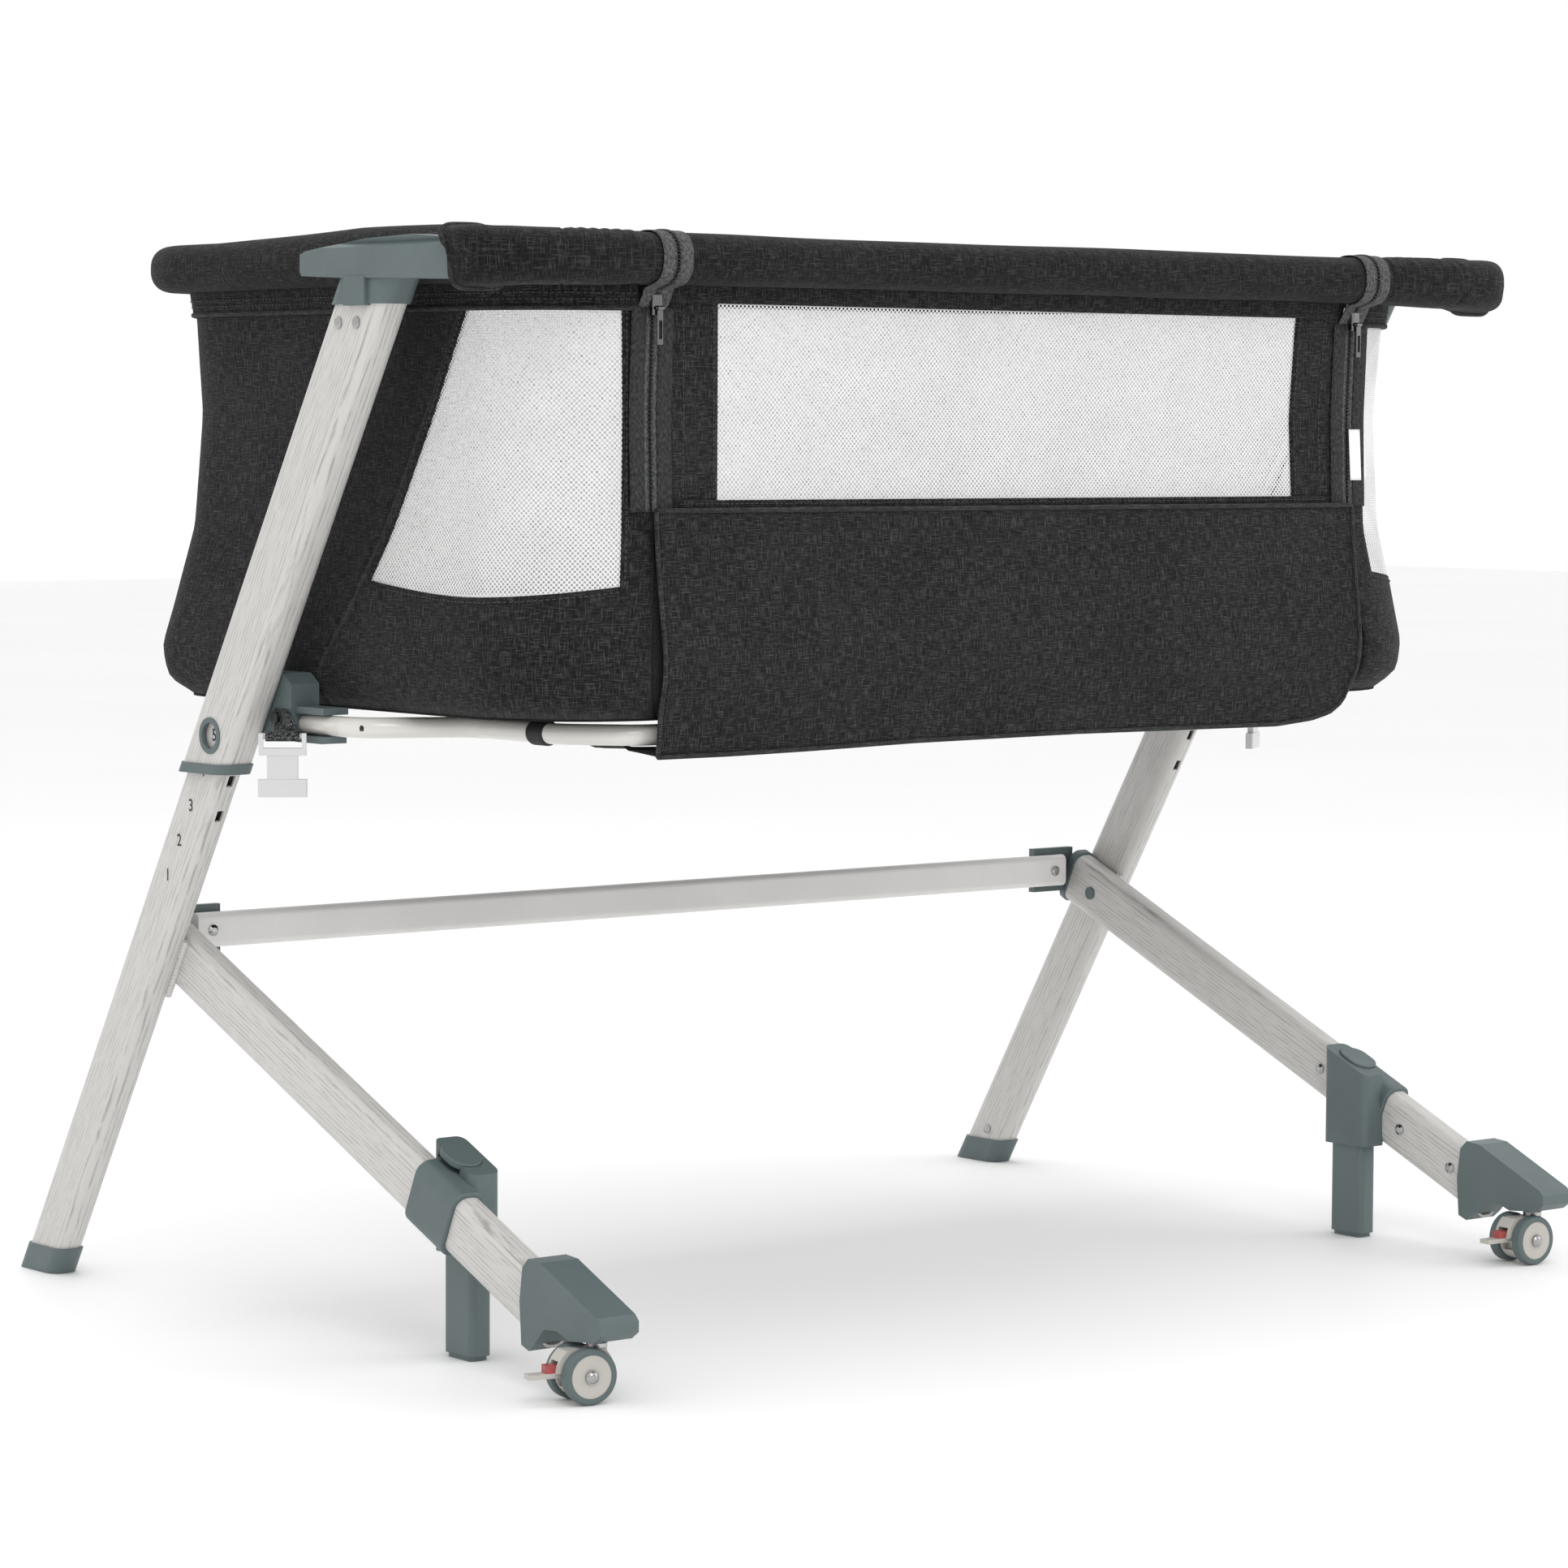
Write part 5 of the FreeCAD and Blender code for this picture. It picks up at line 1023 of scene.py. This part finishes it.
def flap_foot(x):
    """Height of the flap's lower edge along its width."""
    across = [-0.322, -0.262, -0.193, -0.10, 0.05, 0.245, 0.280, 0.298, 0.309, 0.3155, 0.3206]
    height = [0.3965, 0.3965, 0.3975, 0.3995, 0.4005, 0.3992, 0.4022, 0.4062, 0.4130, 0.4220,
              0.4370]
    return np.interp(x, across, height)


def build_flap():
    """The hanging flap on the front: at each height it stands in from the rail's face by the
    CAD's own step table, with a soft wave that grows downwards, and its lower right corner
    is round; its hem runs back under the tube."""
    sizes = bpy.context.scene.bassinet_sizes
    columns, round_corner = 150, 16
    x = FLAP_HALF * np.linspace(-1, 1, columns)
    share = np.concatenate([np.linspace(0, 0.9, 34), np.linspace(0.92, 1, 5)])
    head = FLAP_HIGH.z + 0.0008
    foot = flap_foot(x)
    z = foot[None] + (head - foot)[None] * share[:, None]
    s = np.broadcast_to(x[None], z.shape)
    pull = sum(np.interp(z - WALL_FOOT + d, FLAP_RISE, FLAP_INSET)
               for d in (-0.008, -0.004, 0, 0.004, 0.008)) / 5
    wave = sizes.ripple * ripple(s, z, sizes.seed, 0.10, 0.42, 6) * np.clip((head - z) / 0.05, 0, 1)
    tuck = 0.0030 * np.exp(-((z - 0.4560) / 0.010) ** 2)
    y = np.clip(-RAIL_Y + pull - 0.0006 - 0.6 * wave + 0.4 * tuck, FLAP_LOW.y - 0.003, None)
    points = np.stack([s, y, z], -1)
    cloth("front_flap_cloth", points, pair(s, z), "Charcoal linen", "upper", 0.0022,
          held="hung", replaces=["front_flap"])
    edge = np.vstack([points[::-1, 0], points[0], points[:, -1]])
    piping("flap_piping", edge + [0, -0.0003, 0], 0.0016)
    piping("flap_head_piping", points[-1] + [0, -0.0002, 0.0006], 0.0017)

    back = np.linspace(0, 1, 16)[:, None]
    x, y, z = points[0, :columns - round_corner].T
    depth = np.interp(x, [-FLAP_HALF, -0.300, -0.26, 0.10, 0.20, 0.262],
                      [0.090, 0.062, 0.040, 0.036, 0.02, 0.003])
    y = y + 0.0012 + depth * back
    low = 0.3990 + 0.0014 * np.sin(math.pi * back) - 0.0012 * back
    z = z * (1 - back) ** 3 + (1 - (1 - back) ** 3) * low + 0.0004
    turned = np.clip(1 - (x + FLAP_HALF) / 0.010, 0, 1)[None] ** 1.5
    z = np.minimum(z, 0.4021) + 0.0070 * turned * np.clip((back - 0.34) / 0.2, 0, 1)
    tail = np.stack([np.broadcast_to(x, y.shape), y, z], -1)
    cloth("flap_hem", tail, pair(x[None], 0.39 - depth * back), "Charcoal linen", "upper",
          0.0009, held="draped", rests_on=["lower_bow_tube"], flip=True)


def build_rail_band():
    """The plain band and its piping where the walls meet the rail, round sides and back."""
    line = np.linspace(ZIP_EDGE + 0.014, WALL_ROUND - ZIP_EDGE - 0.014, 260)
    s, z = np.meshgrid(line, np.linspace(BAND_FOOT, 0.7065, 6))
    cloth("rail_band", wall_surface(s, z, 0.0018), pair(s, z), "Charcoal linen", "upper", 0.0012)
    piping("rail_band_piping", wall_surface(line, 0.6880, 0.0016), 0.0019)


def zip_profile(offset):
    """Depth and height of a zip along its way up: the wall's face, the short step under the
    rail, then an arc round the roll from below to its top."""
    sizes = bpy.context.scene.bassinet_sizes
    z = np.linspace(DROP_LINE + 0.0006, BAND_FOOT, ZIP_WALL_STEPS)
    wall = wall_surface(np.full_like(z, ZIP_X), z, offset)[:, 1:]
    turn = np.radians(np.linspace(-75, 140, 44))
    out, up = section(turn, sizes.rail_wide / 2 + offset, sizes.rail_high / 2 + offset)
    roll = np.stack([DROP_MID_Y - out, RAIL_MID_Z + up], -1)
    step = np.array([[-0.2346, 0.6945], [-0.2375, 0.7005]]) - [offset * 0.6, 0]
    return np.vstack([wall, step, roll])


def strip(name, x_from, x_to, offset, finish, body, thickness, last=None):
    """A narrow tape between two widths that follows the zip's way up to a last step."""
    way = zip_profile(offset)[:last]
    x = np.linspace(min(x_from, x_to), max(x_from, x_to), 4)[None]
    points = np.stack(np.broadcast_arrays(x, way[:, :1], way[:, 1:]), -1)
    along = np.concatenate([[0], np.cumsum(np.linalg.norm(np.diff(way, axis=0), axis=1))])
    cloth(name, points, pair(x, along[:, None]), finish, body, thickness)


def build_zips():
    """Both zips: tapes and bindings on the fixed and the moving side, a dark placket behind,
    and rows of interlocking teeth that stop at the top."""
    tapes = (
        ("zip_tape_fixed_", 0.3222, 0.3330, 0.0011, "Zip tape", "upper", 0.0007, None),
        ("zip_tape_drop_", 0.3090, 0.3198, 0.0011, "Zip tape", "drop_panel", 0.0007, None),
        ("zip_binding_fixed_", 0.3262, 0.3380, 0.0019, "Binding tape", "upper", 0.0008,
         ZIP_WALL_STEPS),
        ("zip_binding_drop_", 0.3040, 0.3158, 0.0019, "Binding tape", "drop_panel", 0.0008,
         ZIP_WALL_STEPS),
        ("zip_placket_", 0.3060, 0.3300, -0.0022, "Charcoal backing", "upper", 0.0007,
         ZIP_WALL_STEPS))
    shift, tooth = np.array([0.0009, 0, 0]), (0.0015, 0.00042, 0.00055)
    for side, sign in SIDES:
        for name, x_from, x_to, *more in tapes:
            strip(name + side, sign * x_from, sign * x_to, *more)
        way = zip_profile(0.0014)[2:]
        line = np.stack([np.full(len(way), sign * ZIP_X), way[:, 0], way[:, 1]], -1)
        centres = even_path(line, 0.0013)
        along = np.tile([1.0, 0.0, 0.0], (len(centres), 1))
        normal = np.cross(along, unit(np.gradient(centres, axis=0)))
        for half, start, out, body in (("fixed_", 0, sign, "upper"),
                                       ("drop_", 1, -sign, "drop_panel")):
            spindle_piece("zip_teeth_" + half + side, [
                (centres[start::2] + out * shift, along[start::2], normal[start::2], tooth)],
                finish_named("Zip coil"), body)


def build_label():
    """A small blank label sewn beside the right zip."""
    s, z = np.meshgrid(np.linspace(0.3262, 0.3452, 8), np.linspace(0.575, 0.612, 10))
    cloth("blank_label", wall_surface(s, z, 0.0032), pair(s, z), "White label", "upper", 0.0005)


def build_stitching():
    """Thread: two rows along the band under the rail, one beside each edge of the side
    windows but their heads, one under the drop side's net and two on each side of it."""
    pitch = bpy.context.scene.bassinet_sizes.stitch_pitch
    fixed, moving = [], []
    s = np.linspace(ZIP_EDGE + 0.016, WALL_ROUND - ZIP_EDGE - 0.016, 400)
    for z in (0.6935, 0.6975):
        fixed.append(stitch_run(wall_surface(s, z, 0.0022), pitch))
    t = np.linspace(0, 1, 60)
    rear_z = WINDOW_FOOT - 0.002 + (WINDOW_HEAD - WINDOW_FOOT) * t
    ways = [
        (np.full_like(t, WINDOW_FRONT - 0.003), WINDOW_FOOT + (WINDOW_HEAD - WINDOW_FOOT) * t),
        (WINDOW_FRONT + (window_rear(WINDOW_FOOT) - WINDOW_FRONT) * t,
         WINDOW_FOOT - 0.0035 - WINDOW_SAG * np.sin(math.pi * t)),
        (window_rear(rear_z) + 0.0035, rear_z),
    ]
    for s, z in ways:
        for place in (s, WALL_ROUND - s):
            fixed.append(stitch_run(wall_surface(place, z, 0.0002), pitch))
    x = np.linspace(-PANEL_HIGH.x + 0.014, PANEL_HIGH.x - 0.014, 200)
    moving.append(stitch_run(wall_surface(x, NET_LOW.z - 0.0030, 0.0004), pitch))
    z = np.linspace(NET_LOW.z, WINDOW_HEAD, 60)
    for side in (-1, 1):
        for place in (NET_HIGH.x + 0.0055, NET_HIGH.x + 0.031):
            moving.append(stitch_run(
                wall_surface(np.full_like(z, side * place), z, 0.0004), pitch))
    thread = finish_named("Sewing thread")
    spindle_piece("stitching", fixed, thread, "upper")
    spindle_piece("drop_side_stitching", moving, thread, "drop_panel")


def build_sleeves():
    """Two rubber sleeves on the lower tube: a circle swept back, thicker in its middle."""
    for side, sign in SIDES:
        t = np.linspace(0, 1, 22)
        path = np.stack([np.full_like(t, sign * BOW_MID_X), -0.150 - 0.018 * t,
                         np.full_like(t, 0.410)], -1)
        radius = 0.0071 + 0.0014 * np.clip(np.minimum(t, 1 - t) / 0.12, 0, 1) ** 0.5
        piece = tube_piece("tube_sleeve_" + side, path, radius, finish_named("Strap sleeve"),
                           "upper", 28)
        weld(piece.data, 0.0, outward=True)


def build_tube_dots():
    """A small dark hole plug on the outer face of each side of the lower tube: a flat
    spindle whose axis lies along the tube."""
    runs = []
    for sign in (-1, 1):
        centre = np.array([[sign * (BOW_HIGH.x - 0.0006), -0.062, 0.4105]])
        runs.append((centre, np.array([[0.0, 1.0, 0.0]]), np.array([[float(sign), 0.0, 0.0]]),
                     (0.0024, 0.0021, 0.0009)))
    spindle_piece("tube_hole_plugs", runs, finish_named("Strap sleeve"), "upper")


def build_numbers():
    """The five height numbers on the outer face of each long leg, as flat letters."""
    sizes = bpy.context.scene.bassinet_sizes
    heights = np.linspace(0.4000, 0.3001, 5)
    for side, sign in SIDES:
        meshes = []
        for number, z in zip("54321", heights):
            curve = bpy.data.curves.new("number_" + number, "FONT")
            curve.body = number
            curve.size = sizes.number_high * 1.4
            curve.offset = 0.00014
            curve.align_x = "CENTER"
            curve.align_y = "CENTER"
            holder = bpy.data.objects.new("number_shape", curve)
            bpy.context.scene.collection.objects.link(holder)
            bpy.context.view_layer.update()
            flat = bpy.data.meshes.new_from_object(
                holder.evaluated_get(bpy.context.evaluated_depsgraph_get()))
            bpy.data.objects.remove(holder)
            leg_y = 0.314 - 0.6009 * z
            flat.transform(Matrix(((0, 0, sign, sign * NUMBER_X), (sign, 0, 0, leg_y),
                                   (0, 1, 0, z), (0, 0, 0, 1))))
            meshes.append(flat)
        build = bmesh.new()
        for flat in meshes:
            build.from_mesh(flat)
            bpy.data.meshes.remove(flat)
        mesh = bpy.data.meshes.new("height_numbers_" + side)
        build.to_mesh(mesh)
        build.free()
        mesh.materials.clear()
        finish_piece(mesh, "height_numbers_" + side, finish_named("Printed ink"), "stand", False)


def build_straps():
    """The two tether straps: a loop round the buckle's bar, then a band that narrows and
    turns on edge up to the tab under the screw. The band is a flat superellipse carried
    along a smooth line, its width direction turning from the bar's to upright."""
    bar = np.array([-0.4545, 0.001, 0.403])
    along, behind = np.array([0.809, -0.588, 0.0]), np.array([0.588, 0.809, 0.0])
    steps_along, steps_round = 40, 28
    line = smooth_path([bar + 0.0030 * behind, bar + 0.0075 * behind + [0, 0, 0.0030],
                        [-0.4442, 0.0135, 0.4100], [-0.4412, 0.0200, 0.4125],
                        [-0.4412, 0.0302, 0.4125]], steps_along)
    share = np.linspace(0, 1, steps_along)
    turned = np.clip((share - 0.08) / 0.55, 0, 1)
    turned = (turned ** 2 * (3 - 2 * turned) * math.pi / 2)[:, None]
    wide_way = unit(along * np.cos(turned) + np.array([0.05, 0.0, 1.0]) * np.sin(turned))
    tangent = unit(np.gradient(line, axis=0))
    thin_way = unit(np.cross(wide_way, tangent))
    wide_way = np.cross(tangent, thin_way)
    half_wide = np.interp(share, [0, 0.3, 0.6, 0.8, 1], [0.0116, 0.0100, 0.0078, 0.0074, 0.0076])
    turn = np.linspace(0, 2 * math.pi, steps_round, endpoint=False)[:, None]
    out, up = section(turn, half_wide[None], np.full((1, steps_along), 0.0008), 5.0)
    crease = 0.0007 * np.sin(np.linspace(0, 3 * math.pi, steps_round))[:, None] * np.sin(
        math.pi * share)[None]
    band = (line[None] + out[..., None] * wide_way[None]
            + (up + crease)[..., None] * thin_way[None])
    reach = np.append(turn[:, 0], 2 * math.pi) * 0.008
    band_uv = pair(share[None] * 0.04, reach[:, None])
    radius, half_bar = 0.0036, 0.0115
    around = np.linspace(0, 2 * math.pi, 26)[None, :]
    across = np.linspace(-half_bar, half_bar, 12)[:, None]
    loop = (bar + across[..., None] * along
            + (radius * np.cos(around))[..., None] * behind
            + (radius * np.sin(around))[..., None] * np.array([0.0, 0.0, 1.0]))
    webbing = finish_named("Tether webbing")
    for side, sign in SIDES:
        body = "tether_" + side
        strap = grid_piece("tether_band_" + side, on_side(sign, band), band_uv, webbing, body,
                           closed=True, caps=True)
        weld(strap.data, 0.0, outward=True)
        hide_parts("tether_strap_" + side)
        ring = grid_piece("tether_loop_" + side, on_side(sign, loop),
                          pair(radius * around, across), webbing, body)
        weld(ring.data, 1e-6, outward=True)
        thicken(ring, 0.0012)


def build_mattress():
    """The mattress: rings of a rounded rectangle stacked from underside to top, each ring
    drawn in on a superellipse towards both faces, then puffed as cloth and held close to
    its block."""
    low, high = BED_LOW, BED_HIGH
    lift = (high.z - low.z) / 2 - 0.003
    middle = (high.z + low.z) / 2
    edge_round, flat_side, slack = 0.010, 0.55, 0.004
    up = np.linspace(-1, 1, 15)
    draw = (np.clip(np.abs(up) - flat_side, 0, None) / 0.45) ** 2.4 * edge_round
    faces = np.linspace(0.96, 0, 18)
    rings = ([(-1, edge_round, f) for f in faces[::-1]] + [(u, d, 1.0) for u, d in zip(up, draw)]
             + [(1, edge_round, f) for f in faces])
    s = np.linspace(0, WALL_ROUND, 200, endpoint=False)
    rows = []
    for u, d, f in rings:
        x, y, _ = rounded_ring(s, high.x - slack - d, high.y - slack - d, 0.075, WALL_BASE)
        rows.append(np.stack([x * f, y * f, np.full_like(x, middle + u * lift)], -1))
    points = np.array(rows)
    points = np.concatenate([points, points[:, :1]], 1)
    piece = grid_piece("mattress_pad", points, points[..., :2].copy(),
                       finish_named("White ticking"), "upper")
    weld(piece.data, 1e-6, outward=True)
    puff(piece, 0.006, 0.004, (low, high))
    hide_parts("mattress")


def puff(piece, voxel, reach, block):
    """Swell a closed shape as cloth under pressure, let no point move further than the
    reach or leave the block, and put the result into the piece's mesh."""
    scene = bpy.context.scene
    trial = piece.copy()
    trial.data = piece.data.copy()
    scene.collection.objects.link(trial)
    grid = trial.modifiers.new("Even", "REMESH")
    grid.mode = "VOXEL"
    grid.voxel_size = voxel
    before = bpy.data.meshes.new_from_object(
        trial.evaluated_get(bpy.context.evaluated_depsgraph_get()))
    trial.modifiers.clear()
    trial.data = before
    soft = trial.modifiers.new("Cloth", "CLOTH")
    soft.settings.use_pressure = True
    soft.settings.uniform_pressure_force = 4
    soft.settings.effector_weights.gravity = 0
    soft.settings.quality = 4
    soft.point_cache.frame_start = 1
    soft.point_cache.frame_end = 20
    for number in range(1, 21):
        scene.frame_set(number)
    after = bpy.data.meshes.new_from_object(
        trial.evaluated_get(bpy.context.evaluated_depsgraph_get()))
    scene.frame_set(1)
    if len(after.vertices) != len(before.vertices):
        raise RuntimeError("the puffed mesh changed its points")
    start = np.empty(len(before.vertices) * 3)
    moved = start.copy()
    before.vertices.foreach_get("co", start)
    after.vertices.foreach_get("co", moved)
    start, moved = start.reshape(-1, 3), moved.reshape(-1, 3)
    way = moved - start
    far = np.linalg.norm(way, axis=1, keepdims=True)
    moved = start + way * np.minimum(1, reach / np.maximum(far, 1e-9))
    moved = np.clip(moved, np.array(block[0]), np.array(block[1]))
    after.vertices.foreach_set("co", moved.astype(np.float32).ravel())
    after.materials.clear()
    after.materials.append(piece.data.materials[0])
    after.polygons.foreach_set("use_smooth", np.full(len(after.polygons), True))
    after.update()
    bpy.data.objects.remove(trial)
    piece.data = after


# ---------------------------------------------------------------- stage

def build_stage():
    """A wide pale floor, a bright room, three soft lamps and the camera."""
    scene = bpy.context.scene
    reach = np.linspace(-14, 14, 9)
    x, y = np.meshgrid(reach, reach)
    points = np.stack([x, y, np.full_like(x, -0.0003)], -1)
    material, tree, bsdf = new_finish("Pale floor", Roughness=0.6, Specular_IOR_Level=0.12)
    vector = add(tree, "ShaderNodeTexCoord").outputs["Object"]
    cloud = noise(tree, vector, 0.9, 3.0)
    tree.links.new(mix(tree, spread(tree, cloud, 0.3, 0.7), (0.925, 0.925, 0.925, 1),
                       (0.945, 0.945, 0.945, 1)), bsdf.inputs["Base Color"])
    index = np.arange(81).reshape(9, 9)
    quads = np.stack([index[:-1, :-1], index[:-1, 1:], index[1:, 1:], index[1:, :-1]], -1)
    mesh = bpy.data.meshes.new("floor")
    mesh.from_pydata(points.reshape(-1, 3).tolist(), [], quads.reshape(-1, 4).tolist())
    mesh.materials.append(material)
    floor = bpy.data.objects.new("floor", mesh)
    scene.collection.objects.link(floor)

    world = bpy.data.worlds.new("Bright room")
    world.use_nodes = True
    world.node_tree.nodes["Background"].inputs["Color"].default_value = (1, 1, 1, 1)
    world.node_tree.nodes["Background"].inputs["Strength"].default_value = 1.0
    scene.world = world
    scene.view_settings.view_transform = "Standard"
    scene.view_settings.look = "None"
    for name, place, aim, size, power in (
            ("key", (-1.6, -2.6, 2.6), (0, 0, 0.4), 1.8, 26),
            ("fill", (2.6, -1.8, 1.7), (0, 0, 0.4), 2.2, 14),
            ("top", (0.2, 0.6, 3.2), (0, 0, 0.5), 2.6, 26)):
        lamp = bpy.data.lights.new(name, "AREA")
        lamp.shape = "DISK"
        lamp.size = size
        lamp.energy = power
        holder = bpy.data.objects.new(name, lamp)
        scene.collection.objects.link(holder)
        holder.location = place
        way = np.subtract(place, aim)
        flat = math.hypot(way[0], way[1])
        holder.rotation_euler = (math.atan2(flat, way[2]), 0, math.atan2(way[0], -way[1]))

    data = bpy.data.cameras.new("camera")
    data.sensor_width = 36.0
    data.lens = 114.31
    data.clip_end = 60.0
    camera = bpy.data.objects.new("camera", data)
    scene.collection.objects.link(camera)
    camera.matrix_world = (
        Matrix.Translation((-2.29828, -2.79861, 0.61187))
        @ Matrix.Rotation(math.radians(-39.133), 4, "Z")
        @ Matrix.Rotation(math.radians(90 - 4.1046), 4, "X")
        @ Matrix.Rotation(math.radians(0.2895), 4, "Z"))
    scene.camera = camera


# ---------------------------------------------------------------- operators

class BASSINET_OT_finishes(bpy.types.Operator):
    """Make the materials and give the hard pieces theirs"""

    bl_idname = "bassinet.finishes"
    bl_label = "Finishes"

    def execute(self, context):
        make_finishes()
        return {"FINISHED"}


class BASSINET_OT_rail(bpy.types.Operator):
    """Build the padded rail, the drop side's roll and the pockets over the bracket arms"""

    bl_idname = "bassinet.rail"
    bl_label = "Padded rail"

    def execute(self, context):
        build_rail()
        build_pockets()
        build_rail_band()
        return {"FINISHED"}


class BASSINET_OT_walls(bpy.types.Operator):
    """Build the basket's cloth walls, lining, floor and side windows"""

    bl_idname = "bassinet.walls"
    bl_label = "Basket walls"

    def execute(self, context):
        build_walls()
        build_side_windows()
        return {"FINISHED"}


class BASSINET_OT_drop_side(bpy.types.Operator):
    """Build the drop side's cloth bands and its net"""

    bl_idname = "bassinet.drop_side"
    bl_label = "Drop side"

    def execute(self, context):
        build_panel()
        return {"FINISHED"}


class BASSINET_OT_flap(bpy.types.Operator):
    """Build the hanging front flap and its hem"""

    bl_idname = "bassinet.flap"
    bl_label = "Front flap"

    def execute(self, context):
        build_flap()
        return {"FINISHED"}


class BASSINET_OT_zips(bpy.types.Operator):
    """Build both zips' tapes, bindings and teeth"""

    bl_idname = "bassinet.zips"
    bl_label = "Zips"

    def execute(self, context):
        build_zips()
        return {"FINISHED"}


class BASSINET_OT_trims(bpy.types.Operator):
    """Build the stitching, blank label, tube sleeves, height numbers and tether straps"""

    bl_idname = "bassinet.trims"
    bl_label = "Trims"

    def execute(self, context):
        build_label()
        build_stitching()
        build_sleeves()
        build_tube_dots()
        build_numbers()
        build_straps()
        return {"FINISHED"}


class BASSINET_OT_mattress(bpy.types.Operator):
    """Build the mattress"""

    bl_idname = "bassinet.mattress"
    bl_label = "Mattress"

    def execute(self, context):
        build_mattress()
        return {"FINISHED"}


class BASSINET_OT_stage(bpy.types.Operator):
    """Lay the floor, set the lights and place the camera"""

    bl_idname = "bassinet.stage"
    bl_label = "Stage"

    def execute(self, context):
        build_stage()
        return {"FINISHED"}


OPERATORS = (
    BASSINET_OT_finishes, BASSINET_OT_rail, BASSINET_OT_walls, BASSINET_OT_drop_side,
    BASSINET_OT_flap, BASSINET_OT_zips, BASSINET_OT_trims, BASSINET_OT_mattress,
    BASSINET_OT_stage)


class BASSINET_PT_panel(bpy.types.Panel):
    """Sizes, colours and one button for each group of pieces"""

    bl_idname = "BASSINET_PT_panel"
    bl_label = "Bassinet"
    bl_space_type = "VIEW_3D"
    bl_region_type = "UI"
    bl_category = "Bassinet"

    def draw(self, context):
        layout = self.layout
        for group in (context.scene.bassinet_sizes, context.scene.bassinet_colours):
            box = layout.box()
            for key in group.bl_rna.properties.keys():
                if key not in ("rna_type", "name"):
                    box.prop(group, key)
        for operator in OPERATORS:
            layout.operator(operator.bl_idname)


CLASSES = (BassinetSizes, BassinetColours, *OPERATORS, BASSINET_PT_panel)


def register():
    for kind in CLASSES:
        bpy.utils.register_class(kind)
    bpy.types.Scene.bassinet_sizes = PointerProperty(type=BassinetSizes)
    bpy.types.Scene.bassinet_colours = PointerProperty(type=BassinetColours)


def unregister():
    del bpy.types.Scene.bassinet_colours
    del bpy.types.Scene.bassinet_sizes
    for kind in reversed(CLASSES):
        bpy.utils.unregister_class(kind)


def main():
    """Register, then build everything in order."""
    register()
    for operator in OPERATORS:
        group, name = operator.bl_idname.split(".")
        getattr(getattr(bpy.ops, group), name)()


if __name__ == "__main__":
    main()
